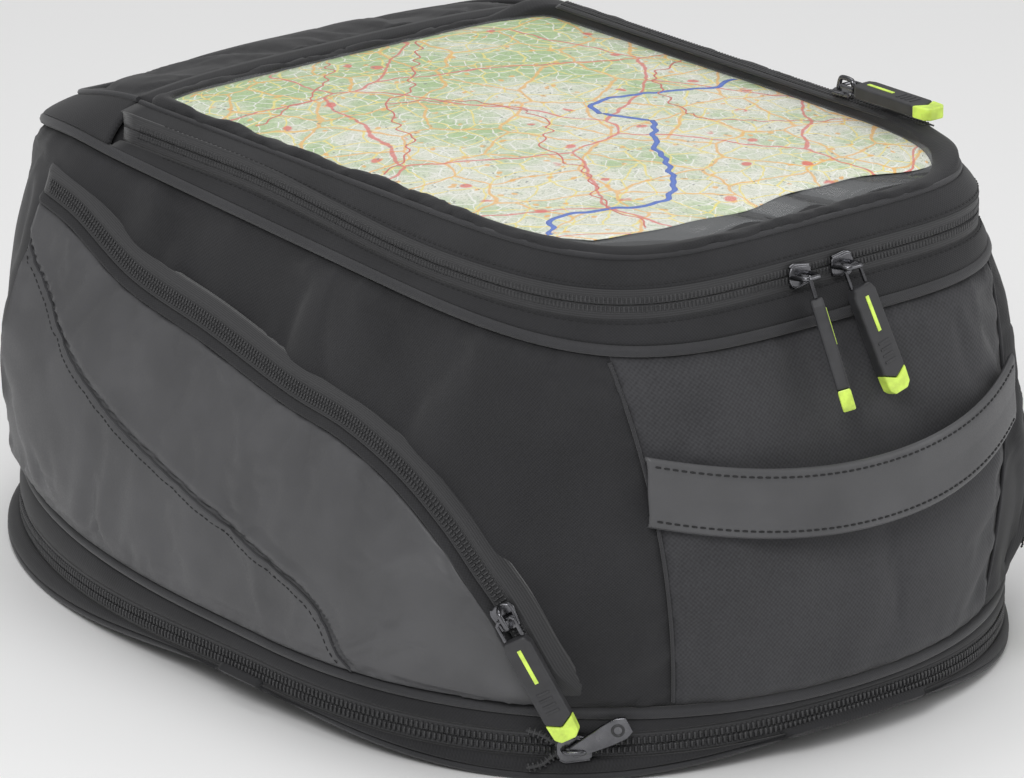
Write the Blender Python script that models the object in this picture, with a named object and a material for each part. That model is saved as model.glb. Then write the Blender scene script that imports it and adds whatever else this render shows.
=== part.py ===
"""Soft tank bag: a lidded bag on a stiff base, with an expansion zip round the base.

Axes: -Y is the handle end, +Z is up, and +X is to the right as one faces the handle end from outside.
The origin is on the floor, at the middle of the bag.
Lengths below are in millimetres, and MM turns them into Blender's metres.
"""

import math
from collections import namedtuple

import bmesh
import bpy
from mathutils import Matrix, Vector

MM = 0.001
GAP = 0.3

# Driving dimensions
Y_MIDDLE = 16.35  # moves the outlines so that the whole bag is centred on the origin
TOP_HALF_WIDTH = 104.3
COLLAR_HALF_WIDTH = 118.5
BASE_HALF_WIDTH = 158.0
LID_HEIGHT = 200.5
HINGE_Y = 80.0  # where the lid folds, before Y_MIDDLE is added
HINGE_Z = 209.0
FOOT_ARCH = 9.2  # how far the bottom edge rises between the bag's four corners
SKIN = 2.2  # fabric with its backing
FOAM = 2.6
LINER_GAP = 2.0
POCKET_GAP = 1.2  # between the wall and what is sewn over it
COIL_ROW = 3.1  # height of one row of zip coil
PIPING_RADIUS = 2.3
SEAM_TOP = 96.0  # half the distance between the handle-end seams at the collar
SEAM_BOTTOM = 79.0
FAR_SEAM = 62.0  # half the distance between the seams at the far end
WALL_BULGE = 5.0  # how far the walls swell between their upper and lower seams
RIM_WIDTH = 9.6
MAP_ZIP_X = 98.2
STRAP_HALF_LENGTH = 93.0
STRAP_HEIGHT = 27.5
STRAP_BOW = 12.0
PULL_LENGTH = 35.0
PULL_WIDTH = 11.0
PULL_THICKNESS = 5.0
TIP_LENGTH = 8.5
BAIL_LENGTH = 8.0
WIRE_RADIUS = 0.8
POCKET_ZIP_WIDTH = 7.0
POCKET_RISE = 6.0
LOCK_CENTRE = (0.0, -13.0)
LOCK_OUTER = 62.0
LOCK_INNER = 44.0
LOCK_FLANGE = 74.0
LOCK_TOP = 9.3
FLANGE_THICKNESS = 2.8

# How finely the outlines are cut: points along the front curve, each straight side, and the back curve.
FRONT_STEPS = 20
SIDE_STEPS = 3
BACK_STEPS = 14

Outline = namedtuple("Outline", "width front front_centre back_centre back front_power back_power")

FOOT = Outline(157.5, -231.0, -72.0, -30.0, 213.0, 2.35, 2.45)
ZIP_LOW = Outline(159.0, -233.0, -70.0, -28.0, 213.0, 2.2, 2.2)
WALL_LOW = Outline(BASE_HALF_WIDTH, -234.0, -68.0, -28.0, 212.0, 2.15, 2.15)
COLLAR = Outline(COLLAR_HALF_WIDTH, -217.0, -60.0, 35.0, 170.0, 4.0, 4.0)
ZIP_HIGH = Outline(112.5, -211.0, -60.0, 38.0, 164.0, 4.6, 4.2)
TOP = Outline(TOP_HALF_WIDTH, -204.0, -60.0, 40.0, 156.0, 5.0, 4.4)
LID = Outline(TOP_HALF_WIDTH, -204.0, -60.0, 30.0, HINGE_Y - 0.6, 5.0, 12.0)


def material(name, colour, roughness, metallic=0.0):
    made = bpy.data.materials.new(name)
    made.use_nodes = True
    shader = made.node_tree.nodes["Principled BSDF"]
    shader.inputs["Base Color"].default_value = (*colour, 1.0)
    shader.inputs["Roughness"].default_value = roughness
    shader.inputs["Metallic"].default_value = metallic
    made.diffuse_color = (*colour, 1.0)
    return made


def clear_scene():
    for old in list(bpy.data.objects):
        bpy.data.objects.remove(old, do_unlink=True)


def smooth(value):
    value = min(1.0, max(0.0, value))
    return value * value * (3.0 - 2.0 * value)


def lerp(a, b, part):
    return a + (b - a) * part


# Outlines: a straight stretch on each side, closed by a superellipse half at each end.


def blend_outline(low, high, part, outset=0.0):
    mixed = [lerp(a, b, part) for a, b in zip(low, high)]
    mixed[0] += outset
    mixed[1] -= outset
    mixed[4] += outset
    return Outline(*mixed)


def inset(outline, distance):
    return blend_outline(outline, outline, 0.0, -distance)


def outline_xy(outline, s):
    """The point at s, going round from the left end of the front curve.

    0 to 1 is the front curve, 1 to 2 the right side, 2 to 3 the back curve, and 3 to 4 the left side.
    """
    s = s % 4.0
    if 1.0 <= s < 2.0:
        return outline.width, lerp(outline.front_centre, outline.back_centre, s - 1.0)
    if s >= 3.0:
        return -outline.width, lerp(outline.back_centre, outline.front_centre, s - 3.0)
    if s < 1.0:
        angle, power, middle = math.pi * (1.0 + s), outline.front_power, outline.front_centre
        reach = outline.front_centre - outline.front
    else:
        angle, power, middle = math.pi * (s - 2.0), outline.back_power, outline.back_centre
        reach = outline.back - outline.back_centre
    across, along = math.cos(angle), math.sin(angle)
    spread = (abs(across) / outline.width) ** power + (abs(along) / reach) ** power
    radius = spread ** (-1.0 / power)
    return radius * across, middle + radius * along


def front_y(outline, x):
    """How far forward the outline reaches at x."""
    reach = outline.front_centre - outline.front
    rest = 1.0 - (abs(x) / outline.width) ** outline.front_power
    return outline.front_centre - reach * max(rest, 0.0) ** (1.0 / outline.front_power)


def side_x(outline, y):
    """Half the outline's width at y."""
    if y < outline.front_centre:
        power = outline.front_power
        part = (outline.front_centre - y) / (outline.front_centre - outline.front)
    elif y > outline.back_centre:
        power = outline.back_power
        part = (y - outline.back_centre) / (outline.back - outline.back_centre)
    else:
        return outline.width
    return outline.width * max(1.0 - part**power, 0.0) ** (1.0 / power)


def front_s(outline, x):
    """The place s on the front curve where the outline passes x."""
    y = front_y(outline, x)
    return math.atan2(outline.front_centre - y, -x) / math.pi


def steps(start, end, count):
    return [lerp(start, end, i / count) for i in range(count + 1)]


def loop_steps():
    front = [i / FRONT_STEPS for i in range(FRONT_STEPS)]
    right = [1.0 + i / SIDE_STEPS for i in range(SIDE_STEPS)]
    back = [2.0 + i / BACK_STEPS for i in range(BACK_STEPS)]
    left = [3.0 + i / SIDE_STEPS for i in range(SIDE_STEPS)]
    return front + right + back + left


# Heights of the seams, each a function of a place on the plan.


def foot_height(x, y):
    angle = math.atan2((y + 50.0) / 182.0, x / 158.0)
    return FOOT_ARCH * math.cos(2.0 * angle) ** 2


def base_zip_height(x, y):
    return 18.8 + 0.006 * y + 0.26 * foot_height(x, y)


def wall_low_height(x, y):
    return 34.4 + 0.026 * y


def collar_height(x, y):
    return 178.9 + 0.055 * y - 14.0 * (max(y - 95.0, 0.0) / 63.0) ** 2


def zip_height(x, y):
    return 184.5 + 8.0 * smooth((y + 120.0) / 130.0)


def top_height(x, y):
    return LID_HEIGHT - 17.0 * (max(y - HINGE_Y, 0.0) / 68.0) ** 1.6


def at(x, y, z):
    return Vector((x, y + Y_MIDDLE, z)) * MM


# Mesh makers. Rows run upwards or inwards, and each row is a list of points.


def build(name, rows_out, rows_in, closed, paint):
    """A shell between two grids of points: a loop when closed, else a patch with four edges."""
    mesh = bmesh.new()
    out = [[mesh.verts.new(p) for p in row] for row in rows_out]
    inner = [[mesh.verts.new(p) for p in row] for row in rows_in]
    columns = len(out[0])
    last = columns if closed else columns - 1
    for j in range(len(out) - 1):
        for i in range(last):
            k = (i + 1) % columns
            mesh.faces.new((out[j][i], out[j][k], out[j + 1][k], out[j + 1][i]))
            mesh.faces.new((inner[j][k], inner[j][i], inner[j + 1][i], inner[j + 1][k]))
    for i in range(last):
        k = (i + 1) % columns
        mesh.faces.new((out[0][k], out[0][i], inner[0][i], inner[0][k]))
        mesh.faces.new((out[-1][i], out[-1][k], inner[-1][k], inner[-1][i]))
    if not closed:
        for j in range(len(out) - 1):
            mesh.faces.new((out[j][0], out[j + 1][0], inner[j + 1][0], inner[j][0]))
            mesh.faces.new((out[j + 1][-1], out[j][-1], inner[j][-1], inner[j + 1][-1]))
    return finish_mesh(name, mesh, paint)


def finish_mesh(name, mesh, paint, place=None, sharp=40.0):
    bmesh.ops.recalc_face_normals(mesh, faces=mesh.faces)
    data = bpy.data.meshes.new(name)
    mesh.to_mesh(data)
    mesh.free()
    data.shade_smooth()
    data.set_sharp_from_angle(angle=math.radians(sharp))
    made = bpy.data.objects.new(name, data)
    made.data.materials.append(paint)
    bpy.context.collection.objects.link(made)
    if place is not None:
        made.matrix_world = place
    return made


def ring(outline, height, drop, s_values):
    """Points round an outline, with height(x, y) + drop."""
    points = []
    for s in s_values:
        x, y = outline_xy(outline, s)
        points.append(at(x, y, height(x, y) + drop))
    return points


def band(name, low, high, paint, depth=(0.0, SKIN), s_values=None, closed=True):
    """A wall between two seams, each (outline, height, drop), between two insets."""
    s_values = s_values or loop_steps()
    grids = []
    for distance in depth:
        grids.append([ring(inset(seam[0], distance), seam[1], seam[2], s_values) for seam in (low, high)])
    return build(name, grids[0], grids[1], closed, paint)


def mixed_point(low, high, part, x, y):
    low_z = low[1](x, y) + low[2]
    high_z = high[1](x, y) + high[2]
    return at(x, y, lerp(low_z, high_z, part))


def cord(name, outline, height, drop, radius, paint, sides=6):
    """A round piping that follows a seam all the way round."""
    mesh = bmesh.new()
    rings = []
    for s in loop_steps():
        turn = []
        for i in range(sides):
            angle = 2.0 * math.pi * (i + 0.5) / sides
            x, y = outline_xy(inset(outline, -radius * math.cos(angle)), s)
            turn.append(mesh.verts.new(at(x, y, height(x, y) + drop + radius * math.sin(angle))))
        rings.append(turn)
    for i, here in enumerate(rings):
        there = rings[(i + 1) % len(rings)]
        for k in range(sides):
            m = (k + 1) % sides
            mesh.faces.new((here[k], there[k], there[m], here[m]))
    return finish_mesh(name, mesh, paint, sharp=60.0)


def slab(name, outline, bottom, top, paint, crown=None):
    """A flat or crowned sheet inside an outline, as rings that shrink to a middle point."""
    s_values = loop_steps()
    middle_y = 0.5 * (outline.front + outline.back)
    shrink = (1.0, 0.85, 0.6, 0.3)
    crown = crown or (lambda part: 0.0)

    def layer(z):
        rows = []
        for part in shrink:
            row = []
            for s in s_values:
                x, y = outline_xy(outline, s)
                row.append(at(x * part, lerp(middle_y, y, part), z + crown(part)))
            rows.append(row)
        return rows

    mesh = bmesh.new()
    upper = [[mesh.verts.new(p) for p in row] for row in layer(top)]
    lower = [[mesh.verts.new(p) for p in row] for row in layer(bottom)]
    upper_middle = mesh.verts.new(at(0.0, middle_y, top + crown(0.0)))
    lower_middle = mesh.verts.new(at(0.0, middle_y, bottom + crown(0.0)))
    count = len(s_values)
    for i in range(count):
        k = (i + 1) % count
        mesh.faces.new((lower[0][i], lower[0][k], upper[0][k], upper[0][i]))
        for j in range(len(shrink) - 1):
            mesh.faces.new((upper[j][i], upper[j][k], upper[j + 1][k], upper[j + 1][i]))
            mesh.faces.new((lower[j][k], lower[j][i], lower[j + 1][i], lower[j + 1][k]))
        mesh.faces.new((upper[-1][i], upper[-1][k], upper_middle))
        mesh.faces.new((lower[-1][k], lower[-1][i], lower_middle))
    return finish_mesh(name, mesh, paint)


def turned(name, profile, centre, paint, sides=28):
    """A ring turned about an upright line, from its cross-section: (radius, height) pairs."""
    mesh = bmesh.new()
    loops = []
    for radius, z in profile:
        loop = []
        for i in range(sides):
            angle = 2.0 * math.pi * i / sides
            x = centre[0] + radius * math.cos(angle)
            y = centre[1] + radius * math.sin(angle)
            loop.append(mesh.verts.new(at(x, y, z)))
        loops.append(loop)
    for j, here in enumerate(loops):
        there = loops[(j + 1) % len(loops)]
        for i in range(sides):
            k = (i + 1) % sides
            mesh.faces.new((here[i], here[k], there[k], there[i]))
    return finish_mesh(name, mesh, paint)


def circle(radius, sides):
    turns = [2.0 * math.pi * i / sides for i in range(sides)]
    return [(radius * math.cos(turn), radius * math.sin(turn)) for turn in turns]


def extrude_outline(name, points, low, high, place, paint, bevel=0.0):
    """A plate: the outline in local X and Y, between two local heights in Z, set in place by a matrix."""
    mesh = bmesh.new()
    bottom = [mesh.verts.new(Vector((x, y, low)) * MM) for x, y in points]
    top = [mesh.verts.new(Vector((x, y, high)) * MM) for x, y in points]
    mesh.faces.new(list(reversed(bottom)))
    mesh.faces.new(top)
    for i in range(len(points)):
        k = (i + 1) % len(points)
        mesh.faces.new((bottom[i], bottom[k], top[k], top[i]))
    made = finish_mesh(name, mesh, paint, place)
    if bevel:
        rounding = made.modifiers.new("rounding", "BEVEL")
        rounding.width = bevel * MM
        rounding.segments = 2
    return made


def wire(name, points, radius, place, paint):
    """A bent round wire through points given in the local frame."""
    data = bpy.data.curves.new(name, "CURVE")
    data.dimensions = "3D"
    data.bevel_depth = radius * MM
    data.bevel_resolution = 2
    data.use_fill_caps = True
    spline = data.splines.new("POLY")
    spline.points.add(len(points) - 1)
    for point, place_in_wire in zip(spline.points, points):
        point.co = (*(Vector(place_in_wire) * MM), 1.0)
    made = bpy.data.objects.new(name, data)
    made.data.materials.append(paint)
    bpy.context.collection.objects.link(made)
    made.matrix_world = place
    return made


# The wall between the lower piping and the collar, and places on it.

WALL_SEAMS = ((WALL_LOW, wall_low_height, 0.0), (COLLAR, collar_height, -3.4))


def wall_outline(part, distance=0.0):
    return blend_outline(WALL_LOW, COLLAR, part, WALL_BULGE * math.sin(math.pi * part) - distance)


def wall_part(y, z):
    low = wall_low_height(0.0, y)
    return (z - low) / (collar_height(0.0, y) - low)


def side_point(side, y, z, out=0.0):
    """A point on the left (-1) or right (1) wall at y and z, moved outwards."""
    return at(side * side_x(wall_outline(wall_part(y, z), -out), y), y, z)


def end_point(x, z, out=0.0):
    """A point on the handle end at x and z, moved outwards."""
    y = WALL_LOW.front
    for _ in range(6):
        y = front_y(wall_outline(wall_part(y, z), -out), x)
    return at(x, y, z)


def wall_patch(name, places, paint, depth=(0.0, SKIN)):
    """A wall panel between two seams. places(part, outline) lists its columns round the outline."""
    parts = steps(0.0, 1.0, 6)
    grids = []
    for distance in depth:
        rows = []
        for part in parts:
            outline = wall_outline(part, distance)
            points = [outline_xy(outline, s) for s in places(part, outline)]
            rows.append([mixed_point(*WALL_SEAMS, part, x, y) for x, y in points])
        grids.append(rows)
    build(name, grids[0], grids[1], False, paint)


def seam_x(part):
    return lerp(SEAM_BOTTOM, SEAM_TOP, part)


def handle_end_panel(paint):
    def places(part, outline):
        return steps(front_s(outline, -seam_x(part) + GAP), front_s(outline, seam_x(part) - GAP), 14)

    wall_patch("handle_end_panel", places, paint)


def far_s(outline, x):
    """The place s on the back curve where the outline passes x."""
    reach = outline.back - outline.back_centre
    along = reach * (1.0 - (abs(x) / outline.width) ** outline.back_power) ** (1.0 / outline.back_power)
    return 2.0 + math.atan2(along, x) / math.pi


def side_panel(name, side, paint):
    def right(part, outline):
        front, far = front_s(outline, seam_x(part) + GAP), far_s(outline, FAR_SEAM + GAP)
        return steps(front, 1.0, 8)[:-1] + steps(1.0, 2.0, 4)[:-1] + steps(2.0, far, 8)

    def left(part, outline):
        far, front = far_s(outline, -FAR_SEAM - GAP), 4.0 + front_s(outline, -seam_x(part) - GAP)
        return steps(far, 3.0, 8)[:-1] + steps(3.0, 4.0, 4)[:-1] + steps(4.0, front, 8)

    wall_patch(name, right if side > 0 else left, paint)


def far_end_panel(paint):
    def places(part, outline):
        return steps(far_s(outline, FAR_SEAM - GAP), far_s(outline, -FAR_SEAM + GAP), 8)

    wall_patch("far_end_panel", places, paint)


def wall_liner(paint):
    """Closed foam sleeve that holds the walls up."""
    grids = []
    for distance in (SKIN + LINER_GAP, SKIN + LINER_GAP + FOAM):
        rows = []
        for part in (0.03, 0.25, 0.5, 0.75, 0.96):
            outline = wall_outline(part, distance)
            points = [outline_xy(outline, s) for s in loop_steps()]
            rows.append([mixed_point(*WALL_SEAMS, part, x, y) for x, y in points])
        grids.append(rows)
    build("wall_liner", grids[0], grids[1], True, paint)


# The side pockets. Their zips slant from high at the far end to low at the handle end.

POCKET_ZIP = (
    (118.0, 166.0),
    (85.0, 162.0),
    (40.0, 148.0),
    (-10.0, 140.0),
    (-62.0, 130.0),
    (-100.0, 125.0),
    (-133.0, 115.0),
    (-158.0, 100.0),
    (-175.0, 82.0),
    (-184.0, 68.0),
    (-190.5, 51.0),
    (-194.0, 38.0),
)
ROUTE_STEPS = 22
SLIDER_STEP = 20  # the place on the route where the side pocket's slider stands


def smooth_route(points, count):
    """Even places along a smooth curve through the points (Catmull-Rom)."""
    dense = []
    for i in range(len(points) - 1):
        p0 = Vector(points[max(i - 1, 0)])
        p1, p2 = Vector(points[i]), Vector(points[i + 1])
        p3 = Vector(points[min(i + 2, len(points) - 1)])
        for k in range(12):
            t = k / 12
            bend = (2 * p0 - 5 * p1 + 4 * p2 - p3) * t * t + (3 * p1 - p0 - 3 * p2 + p3) * t * t * t
            dense.append(0.5 * (2 * p1 + (p2 - p0) * t + bend))
    dense.append(Vector(points[-1]))
    lengths = [0.0]
    for a, b in zip(dense, dense[1:]):
        lengths.append(lengths[-1] + (b - a).length)
    found, j = [], 0
    for i in range(count + 1):
        want = lengths[-1] * i / count
        while j < len(dense) - 2 and lengths[j + 1] < want:
            j += 1
        part = (want - lengths[j]) / (lengths[j + 1] - lengths[j])
        found.append(dense[j].lerp(dense[j + 1], part))
    return found


def route_normal(route, i):
    """The unit vector across the route, pointing to its upper side."""
    ahead = route[min(i + 1, len(route) - 1)]
    behind = route[max(i - 1, 0)]
    along = (ahead - behind).normalized()
    across = Vector((along.y, -along.x))
    return across if across.y > 0 else -across


def pocket_zip(name, side, paint):
    """The zip's tape and coil, a strip lying on the side panel."""
    route = smooth_route(POCKET_ZIP, ROUTE_STEPS)
    grids = []
    for out in (POCKET_GAP + 2.2, POCKET_GAP):
        rows = []
        for shift in (-0.5 * POCKET_ZIP_WIDTH, 0.5 * POCKET_ZIP_WIDTH):
            row = []
            for i, place in enumerate(route):
                point = place + route_normal(route, i) * shift
                row.append(side_point(side, point.x, point.y, out))
            rows.append(row)
        grids.append(rows)
    build(name, grids[0], grids[1], False, paint)


def pocket_panel(name, side, paint):
    """The raised panel below the pocket's zip, down to the lower piping."""
    route = smooth_route(POCKET_ZIP, ROUTE_STEPS)
    top, full = POCKET_RISE, POCKET_RISE + 1.0
    rises = ((0.0, top - 1.5), (0.1, top), (0.3, full), (0.5, full), (0.7, top), (0.87, top - 1.0), (1.0, 3.0))
    grids = []
    for inner in (False, True):
        rows = []
        for part, rise in rises:
            row = []
            for i, place in enumerate(route):
                edge = place - route_normal(route, i) * (0.5 * POCKET_ZIP_WIDTH + GAP)
                foot_y = lerp(142.0, -192.0, i / (len(route) - 1))
                foot_z = wall_low_height(0.0, foot_y) + 0.5
                y = lerp(edge.x, foot_y, part**1.3)
                z = lerp(edge.y, foot_z, part)
                row.append(side_point(side, y, z, POCKET_GAP if inner else rise))
            rows.append(row)
        grids.append(rows)
    build(name, grids[0], grids[1], False, paint)


# The carrying handle.


def strap_height(x):
    return 117.0 - 12.0 * (1.0 - (x / STRAP_HALF_LENGTH) ** 2)


def strap_gap(x):
    return 0.6 + STRAP_BOW * (1.0 - (x / STRAP_HALF_LENGTH) ** 2) ** 1.5


def handle_strap(paint):
    places = steps(-STRAP_HALF_LENGTH, STRAP_HALF_LENGTH, 24)
    grids = []
    for thickness in (2.6, 0.0):
        rows = []
        for rise in (-0.5 * STRAP_HEIGHT, 0.5 * STRAP_HEIGHT):
            row = []
            for x in places:
                base = end_point(x, strap_height(x) + rise)
                upright = end_point(x, strap_height(x))
                y = min(base.y, upright.y) - (strap_gap(x) + thickness) * MM
                row.append(Vector((base.x, y, base.z)))
            rows.append(row)
        grids.append(rows)
    build("handle_strap", grids[0], grids[1], False, paint)


# Open strips round the front, for what belongs to the lid or to the main zip.


def open_steps(outline, reach_y, count=30):
    """Places round the front between the two sides' points at y."""
    if reach_y > outline.back_centre:
        x = side_x(outline, reach_y)
        right_end = 2.0 + math.atan2(reach_y - outline.back_centre, x) / math.pi
    else:
        right_end = 1.0 + (reach_y - outline.front_centre) / (outline.back_centre - outline.front_centre)
    side = [lerp(right_end, 1.0, i / 5) for i in range(5)]
    left = [1.0 - s for s in side]
    front = [i / count for i in range(count + 1)]
    return left + front + list(reversed(side))


def lid_axis(pieces):
    """The line that the lid turns about, as an empty which carries the lid's pieces."""
    axis = bpy.data.objects.new("lid_axis", None)
    axis.location = at(0.0, HINGE_Y, HINGE_Z)
    bpy.context.collection.objects.link(axis)
    for piece in pieces:
        piece.location -= axis.location
        piece.parent = axis


def lid_pieces(fabric, coil, foam, clear, paper):
    end = HINGE_Y - 0.6
    top_places = open_steps(TOP, end)
    zip_places = open_steps(ZIP_HIGH, end - 10.0)
    zip_top = (ZIP_HIGH, zip_height, COIL_ROW + 0.5)
    band("lid_band", zip_top, (TOP, top_height, -0.4), fabric, s_values=top_places, closed=False)
    low = (ZIP_HIGH, zip_height, 0.2)
    high = (ZIP_HIGH, zip_height, 0.2 + COIL_ROW)
    band("main_zip_upper", low, high, coil, depth=(0.4, 2.6), s_values=zip_places, closed=False)
    slab("lid_board", inset(LID, 4.5), 196.6, 199.6, foam)
    lid_rim(fabric)
    slab("map_pocket_back", inset(LID, 10.5), 200.4, 201.4, fabric, crown=window_crown)
    slab("map_sheet", inset(LID, 14.0), 201.9, 202.4, paper, crown=window_crown)
    slab("map_window", inset(LID, 10.5), 203.1, 204.1, clear, crown=window_crown)


def window_crown(part):
    return 3.5 * (1.0 - part**2)


def lid_rim(paint):
    """The raised edge round the window, higher on the side of the map zip."""
    outer = ((0.0, 0.0), (0.8, 2.6), (3.2, 4.0))
    inner = ((RIM_WIDTH - 1.0, 4.2), (RIM_WIDTH, 3.0), (RIM_WIDTH, -0.5), (4.0, -0.5), (3.4, 0.0))
    profile = outer + inner
    mesh = bmesh.new()
    rings = []
    for s in loop_steps():
        turn = []
        for distance, rise in profile:
            x, y = outline_xy(inset(LID, distance), s)
            lift = 2.6 * smooth((x - 70.0) / 25.0) if rise > 1.0 else 0.0
            turn.append(mesh.verts.new(at(x, y, LID_HEIGHT + rise + lift)))
        rings.append(turn)
    sides = len(profile)
    for i, here in enumerate(rings):
        there = rings[(i + 1) % len(rings)]
        for k in range(sides):
            m = (k + 1) % sides
            mesh.faces.new((here[k], here[m], there[m], there[k]))
    finish_mesh("lid_rim", mesh, paint, sharp=30.0)


def map_zip(paint):
    """The map pocket's zip, which lies along the top of the right rim."""
    half, near, far = 2.3, -158.0, 60.0
    low, high = 207.6, 208.7
    place = Matrix.Translation(at(MAP_ZIP_X, 0.0, 0.0))
    points = ((-half, near), (half, near), (half, far), (-half, far))
    extrude_outline("map_zip", points, low, high, place, paint)


def hood_rise(x, y):
    """How far the hood stands over its edge seam."""
    outline = inset(TOP, 2.0)
    aside = abs(x) / outline.width
    beyond = max(y - outline.back_centre, 0.0) / (outline.back - outline.back_centre)
    return 5.0 * max(1.0 - aside**3 - beyond**3, 0.0)


def hood_top(paint):
    """The hood's skin: rows run from the hinge line to the far edge, columns from left to right."""
    start = HINGE_Y + 3.6
    edge = inset(TOP, SKIN + 0.6)
    grids = []
    for drop in (0.0, SKIN):
        rows = []
        for part in steps(0.0, 1.0, 6):
            y = lerp(start, edge.back - 4.0, part)
            half = side_x(edge, y)
            row = []
            for x in steps(-half, half, 14):
                row.append(at(x, y, top_height(x, y) + hood_rise(x, y) - drop))
            rows.append(row)
        grids.append(rows)
    build("hood_top", grids[0], grids[1], False, paint)


def hood_band(paint):
    start = HINGE_Y + 0.6
    x = side_x(TOP, start)
    first = 2.0 + math.atan2(start - TOP.back_centre, x) / math.pi
    places = steps(first, 5.0 - first, 20)
    low = (COLLAR, collar_height, 2.8)
    high = (TOP, top_height, 0.0)
    band("hood_band", low, high, paint, s_values=places, closed=False)


def lid_hinge(paint):
    """The strip of fabric on which the lid folds."""
    half = side_x(TOP, HINGE_Y) - 8.0
    points = ((-half, HINGE_Y + 0.3), (half, HINGE_Y + 0.3), (half, HINGE_Y + 3.2), (-half, HINGE_Y + 3.2))
    place = Matrix.Translation(at(0.0, 0.0, 0.0))
    extrude_outline("lid_hinge", points, 203.0, 205.0, place, paint)


# Zip sliders, wire loops, pulls and their tips.


def frame_at(place, along, outward):
    """A matrix at place, with Z outward and Y against the way the pull hangs."""
    y = -along.normalized()
    z = (outward - y * outward.dot(y)).normalized()
    x = y.cross(z)
    turned = Matrix((x, y, z)).transposed().to_4x4()
    turned.translation = place
    return turned


def slider_body(name, place, paint):
    """The slider's outer plate and the ridge that holds the loop. Local Y runs along the zip."""
    plate = ((-3.2, -6.0), (3.2, -6.0), (4.6, 1.0), (4.6, 6.0), (-4.6, 6.0), (-4.6, 1.0))
    made = extrude_outline(name, plate, 0.0, 1.8, place, paint)
    mesh = bmesh.new()
    mesh.from_mesh(made.data)
    top = max(mesh.faces, key=lambda face: face.calc_center_median().z)
    bmesh.ops.inset_individual(mesh, faces=[top], thickness=2.0 * MM)
    raised = bmesh.ops.extrude_face_region(mesh, geom=[top])
    moved = [item for item in raised["geom"] if isinstance(item, bmesh.types.BMVert)]
    bmesh.ops.translate(mesh, verts=moved, vec=Vector((0.0, 0.0, 1.6 * MM)))
    bmesh.ops.delete(mesh, geom=[top], context="FACES")
    bmesh.ops.recalc_face_normals(mesh, faces=mesh.faces)
    mesh.to_mesh(made.data)
    mesh.free()
    return made


def both_sides(points):
    """The points, followed by their mirror images in local X in reverse order."""
    return points + tuple((-point[0], *point[1:]) for point in reversed(points))


def pull_set(name, pivot, paints):
    """A wire loop, a moulded pull and its bright tip, hanging in local -Y from the pivot."""
    metal, rubber, bright = paints
    half, bend = 3.6, 1.2
    one_side = ((-half, -BAIL_LENGTH, 0.0), (-half, -bend, 0.0), (-half + bend, 0.0, 0.0))
    wire(name + "_loop", both_sides(one_side), WIRE_RADIUS, pivot, metal)
    top, bottom = -BAIL_LENGTH - GAP, -BAIL_LENGTH - GAP - PULL_LENGTH
    w, notch = 0.5 * PULL_WIDTH, 3.0
    body = both_sides(((-w, bottom), (-w, top - 3.0), (-w + 1.5, top))) + ((0.0, bottom - notch),)
    thick = 0.5 * PULL_THICKNESS
    extrude_outline(name, body, -thick, thick, pivot, rubber, bevel=0.8)
    low = bottom - GAP
    end = low - TIP_LENGTH
    tip = both_sides(((-w, low), (-w + 0.4, end + 2.0), (-w + 2.4, end))) + ((0.0, low - notch),)
    extrude_outline(name + "_tip", tip, -thick, thick, pivot, bright, bevel=0.6)


def zip_pull(prefix, place, zip_way, pull_way, outward, paints, turn=0.0, pivot_rise=4.6):
    """A slider on the zip face, and its pull on a pivot over the slider's ridge."""
    slider_body(prefix + "_slider", frame_at(place, zip_way, outward), paints[0])
    pivot = frame_at(place + outward.normalized() * (pivot_rise * MM), pull_way, outward)
    if turn:
        pivot = pivot @ Matrix.Rotation(math.radians(turn), 4, "Y")
    pull_set(prefix + "_pull", pivot, paints)


def front_zip_place(x, out):
    outline = inset(ZIP_HIGH, -out)
    y = front_y(outline, x)
    return at(x, y, zip_height(x, y) + 0.1)


def main_pulls(paints):
    """Both main sliders stand together, a little to the right of the middle of the handle end."""
    ahead = Vector((0.0, -1.0, 0.12))
    for prefix, x, hang, turn in (
        ("main_left", -16.0, (0.05, -0.44, -1.0), 52.0),
        ("main_right", 5.0, (0.26, -0.28, -1.0), 0.0),
    ):
        place = front_zip_place(x, 0.5)
        zip_way = Vector((1.0 if x < 0 else -1.0, 0.0, 0.0))
        zip_pull(prefix, place, zip_way, Vector(hang), ahead, paints, turn, pivot_rise=7.0)


def pocket_pulls(side, prefix, paints):
    """The side pocket's slider stands near the low end of its zip."""
    route = smooth_route(POCKET_ZIP, ROUTE_STEPS)
    spot, ahead = route[SLIDER_STEP], route[SLIDER_STEP + 1]
    out = POCKET_RISE + 1.0
    place = side_point(side, spot.x, spot.y, out)
    way = (side_point(side, ahead.x, ahead.y, out) - place).normalized()
    upward = side_point(side, spot.x, spot.y + 4.0, out) - place
    outward = way.cross(upward)
    outward = outward if outward.x * side > 0 else -outward
    zip_pull(prefix, place, way, way, outward, paints)


def map_pull(paints):
    place = at(MAP_ZIP_X, -112.0, 209.2)
    way = Vector((0.0, -1.0, 0.0))
    zip_pull("map", place, way, way, Vector((0.0, 0.0, 1.0)), paints)


# The base: everything below the expansion zip.


BASE_ZIP_DROP = -4.2  # the top of the lower coil row, from the zip's seam


def base_zips(paint):
    """The expansion zip's two coil rows, one on the base and one on the bag."""
    for name, top in (("base_zip_lower", BASE_ZIP_DROP), ("base_zip_upper", BASE_ZIP_DROP + GAP + COIL_ROW)):
        low = (ZIP_LOW, base_zip_height, top - COIL_ROW)
        high = (ZIP_LOW, base_zip_height, top)
        band(name, low, high, paint, depth=(0.6, 2.8))


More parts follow.
